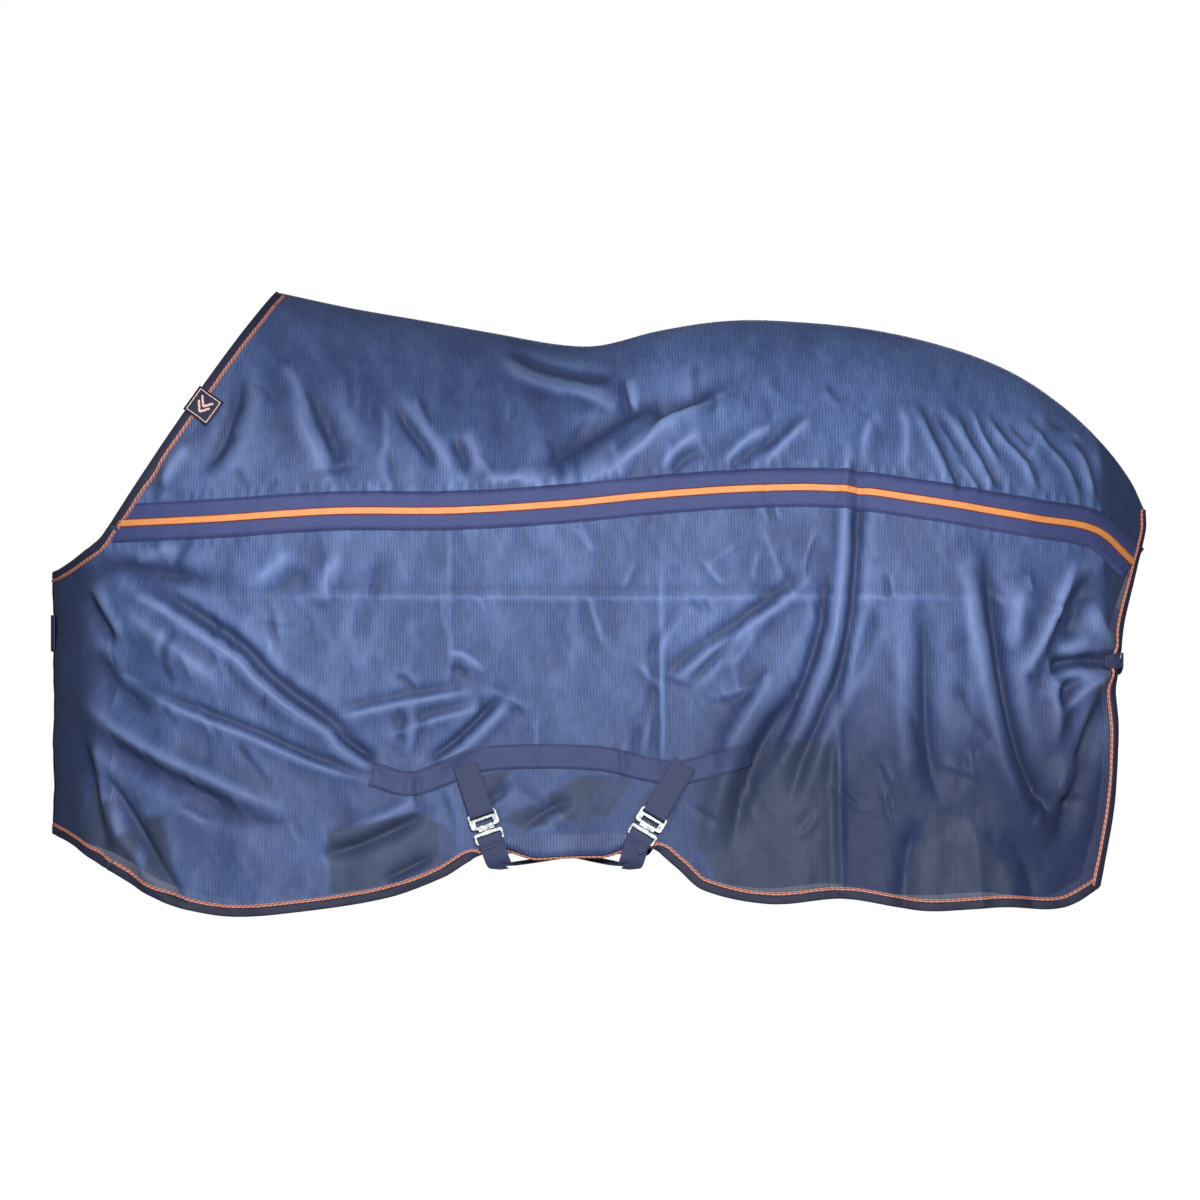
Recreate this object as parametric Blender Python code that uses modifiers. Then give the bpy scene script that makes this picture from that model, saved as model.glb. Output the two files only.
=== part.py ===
"""Mesh horse rug with a bound neck, side bands, crossed belly surcingles and an opening chest.

The rug stands as it hangs on a horse: head towards -X, the near (left) side towards -Y, +Z up.
The origin is on the line of the back, midway along the rug. All sizes are in metres.
"""
import math

import bmesh
import bpy
from mathutils import Matrix, Vector

# ---- overall size and shape of the hanging rug
LENGTH = 1.823
DROP = 1.030
HALF_WIDTH = 0.300
SHOULDER_DROP = 0.360
RIDGE_POWER = 0.62
CHEST_DEPTH = 0.420
RUMP_DEPTH = 0.420
REAR_HOLLOW = 0.012

# ---- cloth, tapes and webbing
FABRIC = 0.0020
BINDING_WIDTH = 0.016
BINDING_TAPE = 0.0010
PIPING_RADIUS = 0.0016
BAND_WIDTH = 0.064
BAND_TAPE = 0.0012
STRIPE_WIDTH = 0.014
STRIPE_TAPE = 0.0008
PATCH_HEIGHT = 0.050
PATCH_TAPE = 0.0016
RIDGE_TAPE_WIDTH = 0.040
STRAP_WIDTH = 0.040
STRAP_TAPE = 0.0018
TAIL_STRAP_WIDTH = 0.025
TAIL_STRAP_BOW = 0.012
ANCHOR_SIZE = 0.034
ANCHOR_TAPE = 0.0012
LABEL_WIDTH = 0.045
LABEL_HEIGHT = 0.046
LABEL_TAPE = 0.0012

# ---- clearances
CLEAR = 0.0004
SEAM_GAP = 0.0003
RIDGE_GAP = 0.0010
RIDGE_INSET = 0.010
HINGE_GAP = 0.0004
TRIM_GAP = 0.0030
CHEST_GAP = 0.0030
END_GAP = 0.0008

# ---- surcingle hardware, across the strap (x), through it (n) and along it (z)
PLATE_LENGTH = 0.026
PLATE_THICK = 0.0025
PLATE_RIM = 0.0030
PLATE_BAR = 0.0040
PLATE_CORNER = 0.0050
T_SLOT = 0.0090
HOOK_TRAVEL = 0.0055
HOOK_LENGTH = 0.018
TONGUE_WIDTH = 0.012
TONGUE_THICK = 0.0018
HEAD_WIDTH = 0.026
HEAD_HEIGHT = 0.006
SLIDER_LENGTH = 0.028
SLIDER_BAR = 0.0016
RUN_FOOT = 0.028
PLATE_OFFSET = 0.0092
RUN_OFFSET = 0.0060

# ---- outlines seen from the side, as shares of LENGTH and of DROP
CREST = [(0.204, 0.083), (0.270, 0.058), (0.338, 0.037), (0.405, 0.016), (0.464, -0.002),
         (0.500, -0.003), (0.555, 0.021), (0.618, 0.037), (0.681, 0.035), (0.754, 0.021),
         (0.826, -0.010), (0.881, -0.050), (0.926, -0.104), (0.962, -0.165), (0.987, -0.224),
         (0.999, -0.269)]
SEAM = [(0.059, -0.295), (0.152, -0.284), (0.261, -0.272), (0.369, -0.271), (0.464, -0.261),
        (0.546, -0.247), (0.627, -0.237), (0.709, -0.236), (0.804, -0.258), (0.885, -0.284),
        (0.948, -0.306), (0.988, -0.362)]
GIRTH_LINE = [(0.000, -0.667), (0.294, -0.676), (0.392, -0.684), (0.464, -0.674), (0.546, -0.682),
              (0.627, -0.667), (1.000, -0.657)]
HEM = [(0.002, -0.795), (0.043, -0.829), (0.093, -0.883), (0.157, -0.915), (0.229, -0.909),
       (0.310, -0.886), (0.360, -0.854), (0.384, -0.828), (0.405, -0.812), (0.446, -0.805),
       (0.500, -0.802), (0.546, -0.809), (0.568, -0.838), (0.591, -0.873), (0.650, -0.896),
       (0.718, -0.888), (0.790, -0.907), (0.862, -0.902),
       (0.917, -0.905), (0.949, -0.875)]
CHEST_TOP = [(0.000, -0.372), (0.009, -0.366), (0.047, -0.322), (0.059, -0.295)]
PATCH_SPAN = (0.296, 0.634)
FLAP_LEVEL = -0.470
TAIL_STRAP_LEVEL = -0.512

# ---- where each near surcingle tab starts on the patch, its slant and its slot plate's height
FRONT_TAB = {"share": 0.396, "level": -0.763, "slant": math.radians(19)}
REAR_TAB = {"share": 0.5460, "level": -0.763, "slant": math.radians(-31)}

# ---- where each belly strap climbs the far wall, and the lowest line of both under the belly
FRONT_RUN = {"share": 0.3840, "level": -0.745, "slant": math.radians(19)}
REAR_RUN = {"share": 0.5660, "level": -0.745, "slant": math.radians(-31)}
STRAP_LOW = -0.866
PATCH_SEAT = 0.15
TAB_SEWN = 0.86
LOOP_SIDE, LOOP_CORNER = 0.80, 0.35
FLAP_TAPER = (0.86, 0.40)
TOUCH_HEIGHT = 0.6

# ---- flap over the chest closure
FLAP_HEIGHT = 0.060
FLAP_REACH = 0.052
FLAP_ROOT = 0.048
FLAP_TAPE = 0.0020
TOUCH_PATCH = 0.026
TOUCH_TAPE = 0.0010

COLUMNS = 34
UPPER_ROWS = 5
SKIRT_ROWS = 3
LOW_ROWS = 2
CHEST_COLUMNS = 6
CHEST_ROWS = 5
REAR_START_ROW = 3
LABEL_ROW = 3
RIDGE_TAPE_STOP = 6
NEAR, FAR = -1, 1


# ---------------------------------------------------------------- scene and materials

def clear_scene():
    for item in list(bpy.data.objects):
        bpy.data.objects.remove(item)


def new_collection(name):
    group = bpy.data.collections.new(name)
    bpy.context.scene.collection.children.link(group)
    return group


def finish(name, colour, roughness, metallic=0.0):
    material = bpy.data.materials.new(name)
    material.use_nodes = True
    shader = material.node_tree.nodes["Principled BSDF"]
    shader.inputs["Base Color"].default_value = (*colour, 1.0)
    shader.inputs["Roughness"].default_value = roughness
    shader.inputs["Metallic"].default_value = metallic
    return material


clear_scene()
RUG = new_collection("turnout_rug")
CUTTERS = new_collection("cutters")
MESH_CLOTH = finish("mesh_cloth", (0.075, 0.115, 0.28), 0.55)
NAVY_TAPE = finish("navy_tape", (0.025, 0.030, 0.085), 0.70)
ORANGE_TAPE = finish("orange_tape", (0.85, 0.36, 0.10), 0.60)
WEBBING = finish("navy_webbing", (0.030, 0.040, 0.11), 0.75)
TOUCH = finish("touch_tape", (0.020, 0.022, 0.05), 0.90)
STEEL = finish("plated_steel", (0.62, 0.62, 0.60), 0.30, 1.0)


def add_object(name, mesh, material, collection=None):
    item = bpy.data.objects.new(name, mesh)
    (collection or RUG).objects.link(item)
    mesh.materials.append(material)
    return item


# ---------------------------------------------------------------- smooth outlines

def smooth(points, value):
    """Height on a smooth curve through the points, which run in rising first value."""
    if value <= points[0][0]:
        return points[0][1]
    if value >= points[-1][0]:
        return points[-1][1]
    at = max(i for i in range(len(points) - 1) if points[i][0] <= value)
    (x0, y0), (x1, y1) = points[at], points[at + 1]

    def slope(i):
        low, high = max(i - 1, 0), min(i + 1, len(points) - 1)
        return (points[high][1] - points[low][1]) / (points[high][0] - points[low][0])

    span = x1 - x0
    t = (value - x0) / span
    a, b = slope(at) * span, slope(at + 1) * span
    return ((2 * t**3 - 3 * t**2 + 1) * y0 + (t**3 - 2 * t**2 + t) * a
            + (3 * t**2 - 2 * t**3) * y1 + (t**3 - t**2) * b)


def along(share):
    return (share - 0.5) * LENGTH


def share_of(x):
    return x / LENGTH + 0.5


def height(outline, x):
    return DROP * smooth(outline, share_of(x))


def mix(a, b, t):
    return a + (b - a) * t


# ---------------------------------------------------------------- the hanging surface

CHEST_START = along(0.0) + CHEST_DEPTH
RUMP_START = along(1.0) + 0.008 - RUMP_DEPTH


def half_width(x, z):
    """Distance of the cloth from the middle plane, at a place seen from the side."""
    fall = min(max((height(CREST, x) - z) / SHOULDER_DROP, 0.0), 1.0)
    section = (1 - (1 - fall) ** 2) ** RIDGE_POWER
    chest = math.sqrt(max(0.0, 1 - (min(x - CHEST_START, 0.0) / CHEST_DEPTH) ** 2))
    rump = math.sqrt(max(0.0, 1 - (max(x - RUMP_START, 0.0) / RUMP_DEPTH) ** 2))
    return HALF_WIDTH * section * chest * rump


def place(x, z, side):
    return Vector((x, side * max(half_width(x, z), RIDGE_GAP), z))


def upper_place(f, s, side):
    """The panel over the back, f from neck to rump and s from the ridge to the side band."""
    top = along(mix(CREST[0][0], CREST[-1][0], f))
    low = along(mix(SEAM[0][0], SEAM[-1][0], f))
    x = mix(top, low, s)
    z = mix(height(CREST, top), height(SEAM, low), s)
    return place(x, z, side)


def lower_ends(f):
    top = along(mix(SEAM[0][0], SEAM[-1][0], f))
    low = along(mix(SEAM[0][0], HEM[-1][0], f))
    return (top, height(SEAM, top)), (low, height(HEM, low))


def lower_place(f, s, side):
    """The side panel, f from the chest joint to the tail and s from the side band to the hem."""
    (x0, z0), (x1, z1) = lower_ends(f)
    x = mix(x0, x1, s) - REAR_HOLLOW * math.sin(math.pi * s) * f**3
    return place(x, mix(z0, z1, s), side)


def chest_place(f, s, side):
    """The chest panel, f from the chest joint round to the middle of the chest."""
    joint = math.asin((CHEST_START - along(SEAM[0][0])) / CHEST_DEPTH)
    angle = mix(joint, math.pi / 2, f)
    x = CHEST_START - CHEST_DEPTH * math.sin(angle)
    z = mix(height(CHEST_TOP, x), height(HEM, x), s)
    return Vector((x, side * HALF_WIDTH * math.cos(angle), z))


def inset(spot, distance, start, toward):
    """The parameter at which spot() lies a distance along the surface from spot(start)."""
    low, high = 0.0, 1.0
    origin = spot(start)
    for _ in range(40):
        middle = (low + high) / 2
        if (spot(mix(start, toward, middle)) - origin).length < distance:
            low = middle
        else:
            high = middle
    return mix(start, toward, (low + high) / 2)


def spread(count):
    """Shares from 0 to 1 that lie closer together near both ends."""
    even = [i / count for i in range(count + 1)]
    return [mix(t, (1 - math.cos(math.pi * t)) / 2, 0.5) for t in even]


def with_normals(points, side):
    """Pairs each point of a grid with the outward normal there."""
    rows = []
    for r, row in enumerate(points):
        pairs = []
        for c, point in enumerate(row):
            across = row[min(c + 1, len(row) - 1)] - row[max(c - 1, 0)]
            down = points[min(r + 1, len(points) - 1)][c] - points[max(r - 1, 0)][c]
            pairs.append((point, across.cross(down).normalized() * side))
        rows.append(pairs)
    return rows


def upper_grid(side):
    shares = spread(COLUMNS)

    def spot(f, number):
        drop = (upper_place(f, 0.0, side) - upper_place(f, 1.0, side)).z
        if number > UPPER_ROWS:
            return upper_place(f, 1 - SEAM_GAP / drop, side)
        fall = 1 - math.cos(math.pi / 2 * number / UPPER_ROWS)
        return upper_place(f, fall * (1 - BAND_WIDTH / 2 / drop), side)

    points = []
    for number in range(UPPER_ROWS + 2):
        first, last = RIDGE_INSET, 1 - RIDGE_INSET
        if number:
            first = inset(lambda f: spot(f, number), BINDING_WIDTH, 0.0, 0.5)
            last = inset(lambda f: spot(f, number), BINDING_WIDTH, 1.0, 0.5)
        columns = [0.0] + [mix(first, last, t) for t in shares] + [1.0]
        points.append([spot(f, number) for f in columns])
    return with_normals(points, side)


def lower_grid(side):
    shares = spread(COLUMNS)

    def seam_spot(f):
        return upper_place(f, 1.0, side)
    first = inset(seam_spot, BINDING_WIDTH, 0.0, 0.5)

    def level(f, number):
        (_, z0), (x1, z1) = lower_ends(f)
        girth = height(GIRTH_LINE, x1)
        marks = [z0 - SEAM_GAP, z0 - BAND_WIDTH / 2]
        patch_top, patch_low = girth + PATCH_HEIGHT / 2, girth - PATCH_HEIGHT / 2
        marks += [mix(marks[1], patch_top, i / SKIRT_ROWS) for i in range(1, SKIRT_ROWS + 1)]
        hem_top = z1 + BINDING_WIDTH
        marks += [mix(patch_low, hem_top, i / LOW_ROWS) for i in range(LOW_ROWS + 1)]
        marks += [z1]
        return (z0 - marks[number]) / (z0 - z1)

    points = []
    for number in range(SKIRT_ROWS + LOW_ROWS + 4):
        def spot(f, number=number):
            return lower_place(f, level(f, number), side)
        last = inset(spot, BINDING_WIDTH, 1.0, 0.5)
        start = inset(spot, HINGE_GAP, 0.0, 0.5)
        columns = [start] + [mix(first, last, t) for t in shares] + [1.0]
        points.append([spot(f) for f in columns])
    return with_normals(points, side)


def chest_grid(side):
    def spot(f, s):
        return chest_place(f, s, side)
    start = inset(lambda f: spot(f, 0.5), HINGE_GAP, 0.0, 1.0)
    end = inset(lambda f: spot(f, 0.5), CHEST_GAP, 1.0, 0.0)
    rim = inset(lambda f: spot(f, 0.5), BINDING_WIDTH, end, 0.0)
    columns = [mix(start, rim, i / CHEST_COLUMNS) for i in range(CHEST_COLUMNS + 1)] + [end]
    points = [[] for _ in range(CHEST_ROWS + 3)]
    for f in columns:
        drop = (spot(f, 0.0) - spot(f, 1.0)).z
        rim_share = BINDING_WIDTH / drop
        shares = [0.0] + [mix(rim_share, 1 - rim_share, i / CHEST_ROWS) for i in range(CHEST_ROWS + 1)]
        for row, s in zip(points, shares + [1.0]):
            row.append(spot(f, s))
    return with_normals(points, side)


# ---------------------------------------------------------------- cloth pieces cut from a grid

def transpose(rows):
    return [list(column) for column in zip(*rows)]


def at_column(row, k):
    """The point and normal at a fractional column of a row."""
    low = min(int(k), len(row) - 2)
    t = k - low
    point = row[low][0].lerp(row[low + 1][0], t)
    normal = row[low][1].lerp(row[low + 1][1], t).normalized()
    return point, normal


def after(row, k, distance):
    """The fractional column that lies a distance further along the row than k."""
    low = min(int(k), len(row) - 2) if distance > 0 else max(math.ceil(k) - 1, 0)
    return k + distance / (row[low + 1][0] - row[low][0]).length


def trimmed(rows, first, last, gap):
    """Rows cut to the columns from first to last, with a gap left at each end."""
    start, stop = after(rows[0], first, gap), after(rows[0], last, -gap)
    inner = [float(k) for k in range(math.floor(start) + 1, math.ceil(stop))]
    return [[at_column(row, k) for k in [start] + inner + [stop]] for row in rows]


def sheet_mesh(name, points):
    """A mesh over a grid of points, each cell split along its shorter diagonal."""
    mesh = bpy.data.meshes.new(name)
    work = bmesh.new()
    verts = [[work.verts.new(point) for point in row] for row in points]
    for upper, lower in zip(verts, verts[1:]):
        for a, b, c, d in zip(upper, upper[1:], lower[1:], lower):
            if (a.co - c.co).length <= (b.co - d.co).length:
                work.faces.new((a, b, c))
                work.faces.new((a, c, d))
            else:
                work.faces.new((a, b, d))
                work.faces.new((b, c, d))
    work.to_mesh(mesh)
    work.free()
    return mesh


def thick_sheet(name, points, thickness, material):
    """A sheet with its thickness laid evenly about the points."""
    item = add_object(name, sheet_mesh(name, points), material)
    shell = item.modifiers.new("thickness", "SOLIDIFY")
    shell.thickness = thickness
    shell.offset = 0.0
    shell.use_even_offset = True
    return item


def overlay(name, rows, under, tape, material):
    """A flat tape that lies on what is under it, counted from the middle of the cloth."""
    lift = under + CLEAR + tape / 2
    return thick_sheet(name, [[p + n * lift for p, n in row] for row in rows], tape, material)


def binding(name, edge, inner, material=NAVY_TAPE):
    """Tape folded round an edge of the cloth, from its inner line on one face to the other."""
    lift = FABRIC / 2 + CLEAR + BINDING_TAPE / 2
    points = [[], [], [], []]
    for (e, n), (i, m) in zip(edge, inner):
        out = (e - i).normalized() * lift
        for row, point in zip(points, (i + m * lift, e + out + n * lift, e + out - n * lift, i - m * lift)):
            row.append(point)
    return thick_sheet(name, points, BINDING_TAPE, material)


def piping(name, edge, inner, material=ORANGE_TAPE):
    """A thin corded line on the outer face, close along the inner side of the binding."""
    curve = bpy.data.curves.new(name, "CURVE")
    curve.dimensions = "3D"
    curve.bevel_depth = PIPING_RADIUS
    curve.bevel_resolution = 1
    curve.use_fill_caps = True
    spline = curve.splines.new("POLY")
    spline.points.add(len(inner) - 1)
    lift = FABRIC / 2 + CLEAR + PIPING_RADIUS
    for knot, (e, n), (i, m) in zip(spline.points, edge, inner):
        knot.co = (*(i + m * lift + (i - e).normalized() * (PIPING_RADIUS + CLEAR)), 1.0)
    item = add_object(name, curve, material)
    return item


def side_name(side):
    return "near" if side == NEAR else "far"


def make_side(side):
    """All the cloth and tape that stays with the body of the rug on one side."""
    name = side_name(side)
    upper, lower = upper_grid(side), lower_grid(side)
    last = len(upper[0]) - 1
    for label, rows in (("upper", upper), ("lower", lower)):
        points = [[p for p, _ in row] for row in rows]
        thick_sheet(f"{name}_{label}_panel", points, FABRIC, MESH_CLOTH)

    band_rows = trimmed([upper[-2], upper[-1], lower[1]], 1, last - 1, END_GAP)
    overlay(f"{name}_side_band", band_rows, FABRIC / 2, BAND_TAPE, NAVY_TAPE)
    stripe_rows = []
    for side_row, share in ((0, STRIPE_WIDTH / BAND_WIDTH), (1, 0.0), (2, STRIPE_WIDTH / BAND_WIDTH)):
        stripe_rows.append([(m[0].lerp(p[0], share), m[1].lerp(p[1], share).normalized())
                            for m, p in zip(band_rows[1], band_rows[side_row])])
    under_stripe = FABRIC / 2 + 1.5 * CLEAR + BAND_TAPE
    overlay(f"{name}_band_stripe", stripe_rows, under_stripe, STRIPE_TAPE, ORANGE_TAPE)

    neck = transpose(upper)
    neck_edge, neck_inner = trimmed([neck[0], neck[1]], 0, len(upper) - 1, END_GAP)
    binding(f"{name}_neck_binding", neck_edge, neck_inner)
    pipe_edge, pipe_inner = trimmed([neck[0], neck[1]], 0, len(upper) - 2, PIPING_RADIUS + END_GAP)
    piping(f"{name}_neck_piping", pipe_edge, pipe_inner)

    rump = transpose(upper[REAR_START_ROW:-1] + lower)
    rear_edge, rear_inner = trimmed([rump[-1], rump[-2]], 0, len(rump[-1]) - 1, END_GAP)
    binding(f"{name}_rear_binding", rear_edge, rear_inner)
    low_inner, low_edge = transpose(lower)[-2], transpose(lower)[-1]
    pipe = trimmed([low_edge, low_inner], 1, len(lower) - 2, PIPING_RADIUS + END_GAP)
    piping(f"{name}_rear_piping", pipe[0], pipe[1])

    hem_edge, hem_inner = trimmed([lower[-1], lower[-2]], 0, last - 1, TRIM_GAP - HINGE_GAP)
    binding(f"{name}_hem_binding", hem_edge, hem_inner)
    pipe = trimmed([lower[-1], lower[-2]], 0, last - 1, TRIM_GAP + PIPING_RADIUS * 2)
    piping(f"{name}_hem_piping", pipe[0], pipe[1])

    first_row = 1 + SKIRT_ROWS
    ends = [column_at(lower[first_row], along(share)) for share in PATCH_SPAN]
    patch_rows = trimmed([lower[first_row], lower[first_row + 1]], ends[0], ends[1], 0.0)
    overlay(f"{name}_surcingle_patch", patch_rows, FABRIC / 2, PATCH_TAPE, WEBBING)
    return upper, lower


def column_at(row, x):
    """The fractional column of a row at a place along the rug."""
    low = max(i for i in range(len(row) - 1) if row[i][0].x <= x)
    return low + (x - row[low][0].x) / (row[low + 1][0].x - row[low][0].x)


def make_chest(side):
    """The chest panel on one side, with tape on its neck, front and hem edges."""
    name = side_name(side)
    rows = chest_grid(side)
    last = len(rows[0]) - 1
    thick_sheet(f"{name}_chest_panel", [[p for p, _ in row] for row in rows], FABRIC, MESH_CLOTH)
    for label, edge, inner in (("neck", rows[0], rows[1]), ("hem", rows[-1], rows[-2])):
        tape = trimmed([edge, inner], 0, last - 1, TRIM_GAP - HINGE_GAP)
        binding(f"{name}_chest_{label}_binding", tape[0], tape[1])
        line = trimmed([edge, inner], 0, last - 1, TRIM_GAP + PIPING_RADIUS * 2)
        piping(f"{name}_chest_{label}_piping", line[0], line[1])
    columns = transpose(rows)
    front = trimmed([columns[-1], columns[-2]], 0, len(rows) - 1, END_GAP)
    binding(f"{name}_chest_front_binding", front[0], front[1])
    return rows


def make_ridge_tape(near, far):
    """The tape sewn inside along the seam over the back."""
    lift = FABRIC / 2 + 2 * CLEAR + BINDING_TAPE / 2
    rows = [[], [], []]
    for k in range(2, len(near[0]) - RIDGE_TAPE_STOP):
        sides = []
        for grid in (near, far):
            (p, _), (q, m) = grid[0][k], grid[1][k]
            t = RIDGE_TAPE_WIDTH / 2 / (q - p).length
            face = (q - p).cross(grid[0][k + 1][0] - p).normalized()
            inward = face if face.dot(m) < 0 else -face
            sides.append(p.lerp(q, t) + inward * lift)
        centre = (near[0][k][0] + far[0][k][0]) / 2 + Vector((0, 0, -lift - FABRIC / 4))
        for row, point in zip(rows, (sides[0], centre, sides[1])):
            row.append(point)
    thick_sheet("ridge_seam_tape", rows, BINDING_TAPE, NAVY_TAPE)


# ---------------------------------------------------------------- webbing ribbons

def ribbon(name, stations, width, thickness, material):
    """Webbing along stations, each a point and the direction that its outer face looks in."""
    rows = [[], []]
    for k, (point, normal) in enumerate(stations):
        before, later = stations[max(k - 1, 0)][0], stations[min(k + 1, len(stations) - 1)][0]
        across = (later - before).cross(normal).normalized() * (width / 2)
        rows[0].append(point - across)
        rows[1].append(point + across)
    webbing = thick_sheet(name, rows, thickness, material)
    webbing.modifiers["thickness"].use_even_offset = False
    return webbing


def spline_through(knots, steps):
    """Points and normals on a smooth curve through knots, each a point and a normal."""
    found = []
    for k in range(len(knots) - 1):
        p0, p1 = knots[max(k - 1, 0)][0], knots[k][0]
        p2, p3 = knots[k + 1][0], knots[min(k + 2, len(knots) - 1)][0]
        for step in range(steps):
            t = step / steps
            point = 0.5 * (2 * p1 + (p2 - p0) * t + (2 * p0 - 5 * p1 + 4 * p2 - p3) * t**2
                           + (3 * p1 - p0 - 3 * p2 + p3) * t**3)
            normal = knots[k][1].lerp(knots[k + 1][1], t).normalized()
            found.append((point, normal))
    return found + [knots[-1]]


def strap_frame(share, level, slant, side, offset):
    """Local axes on the side wall: x across the strap, y out of the wall and z up the strap."""
    up = Vector((-math.sin(slant), 0, math.cos(slant)))
    out = Vector((0, side, 0))
    across = out.cross(up)
    origin = Vector((along(share), side * (HALF_WIDTH + offset), DROP * level))
    frame = Matrix((across, out, up)).transposed().to_4x4()
    frame.translation = origin
    return frame


def local_stations(frame, path):
    """World stations for a path of (out, up) pairs in a strap's own frame."""
    found = []
    out = frame.to_3x3().col[1].copy()
    for k, (n, z) in enumerate(path):
        before, later = path[max(k - 1, 0)], path[min(k + 1, len(path) - 1)]
        step = Vector((0, later[0] - before[0], later[1] - before[1]))
        facing = frame.to_3x3() @ Vector((1, 0, 0)).cross(step).normalized()
        found.append((frame @ Vector((0, n, z)), facing if step.length else out))
    return found


def leg_of(thickness):
    """How far from a plate's middle a strip of this thickness runs along its face."""
    return PLATE_THICK / 2 + CLEAR + thickness / 2


def tab_path(top):
    """A tab down the wall, through the slot plate's upper window and back up behind itself."""
    leg = leg_of(STRAP_TAPE)
    bar_low = PLATE_LENGTH / 2 - PLATE_BAR
    bottom = bar_low - 2 * CLEAR - STRAP_TAPE / 2
    wall = FABRIC / 2 - PLATE_OFFSET
    on_patch = wall + PATCH_TAPE + 2 * CLEAR + STRAP_TAPE / 2
    return [(on_patch, top), (on_patch, top * TAB_SEWN), (leg, PLATE_LENGTH / 2 + 0.006), (leg, bar_low),
            (leg * LOOP_SIDE, bottom + leg * LOOP_CORNER), (0.0, bottom),
            (-leg * LOOP_SIDE, bottom + leg * LOOP_CORNER),
            (-leg, bar_low), (-leg, PLATE_LENGTH / 2 + 0.002),
            (wall + CLEAR * 3 + STRAP_TAPE / 2, PLATE_LENGTH / 2 + 0.012)]


def make_tab(name, tab):
    """A near tab from the surcingle patch down to its slot plate."""
    frame = strap_frame(tab["share"], tab["level"], tab["slant"], NEAR, PLATE_OFFSET)
    centre = frame.translation
    patch_level = height(GIRTH_LINE, centre.x) + PATCH_HEIGHT * PATCH_SEAT
    top = (patch_level - centre.z) / math.cos(tab["slant"])
    ribbon(name, local_stations(frame, tab_path(top)), STRAP_WIDTH, STRAP_TAPE, WEBBING)
    return frame


# ---------------------------------------------------------------- metal pieces

def box_mesh(name, size, centre):
    mesh = bpy.data.meshes.new(name)
    work = bmesh.new()
    bmesh.ops.create_cube(work, size=1.0)
    bmesh.ops.scale(work, vec=size, verts=work.verts)
    bmesh.ops.translate(work, vec=centre, verts=work.verts)
    work.to_mesh(mesh)
    work.free()
    return mesh


def cut_box(item, label, size, centre):
    """Cuts a box, given in the item's own frame, out of the item."""
    cutter = add_object(f"cutter_{item.name}_{label}", box_mesh(label, size, centre), STEEL, CUTTERS)
    cutter.matrix_world = item.matrix_world
    cutter.hide_render = True
    cutter.display_type = "WIRE"
    cut = item.modifiers.new(label, "BOOLEAN")
    cut.operation = "DIFFERENCE"
    cut.object = cutter


def join_solid(item, label, mesh):
    """Joins a mesh, given in the item's own frame, to the item."""
    helper = add_object(f"cutter_{item.name}_{label}", mesh, STEEL, CUTTERS)
    helper.matrix_world = item.matrix_world
    helper.hide_render = True
    helper.display_type = "WIRE"
    join = item.modifiers.new(label, "BOOLEAN")
    join.operation = "UNION"
    join.object = helper
    return helper


def round_corners(mesh, radius):
    """Rounds the four edges that run through the thickness of a flat box."""
    work = bmesh.new()
    work.from_mesh(mesh)
    edges = [e for e in work.edges if abs((e.verts[0].co - e.verts[1].co).normalized().y) > 0.9]
    bmesh.ops.bevel(work, geom=edges, offset=radius, segments=4, affect="EDGES", profile=0.5)
    work.to_mesh(mesh)
    work.free()


PLATE_WIDTH = STRAP_WIDTH + 2 * (CLEAR * 2 + PLATE_RIM)
WINDOW_WIDTH = PLATE_WIDTH - 2 * PLATE_RIM


def make_slot_plate(name, frame):
    """The female half of a surcingle fastener: a webbing window above a slot for the T-hook."""
    mesh = box_mesh(name, (PLATE_WIDTH, PLATE_THICK, PLATE_LENGTH), (0, 0, 0))
    round_corners(mesh, PLATE_CORNER)
    item = add_object(name, mesh, STEEL)
    item.matrix_world = frame
    low_bar = -PLATE_LENGTH / 2 + PLATE_BAR
    slot_top = low_bar + T_SLOT
    window_low, window_top = slot_top + PLATE_BAR, PLATE_LENGTH / 2 - PLATE_BAR
    deep = PLATE_THICK * 3
    cut_box(item, "window", (WINDOW_WIDTH, deep, window_top - window_low),
            (0, 0, (window_low + window_top) / 2))
    cut_box(item, "slot", (HEAD_WIDTH + 0.004, deep, T_SLOT), (0, 0, (low_bar + slot_top) / 2))


def hook_levels():
    """Heights in the strap's frame of the hook body's top, window top, window foot and foot."""
    top = -PLATE_LENGTH / 2 - HOOK_TRAVEL - CLEAR * 3
    foot = top - HOOK_LENGTH
    return top, top - PLATE_BAR - 0.001, foot + PLATE_BAR, foot


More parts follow.
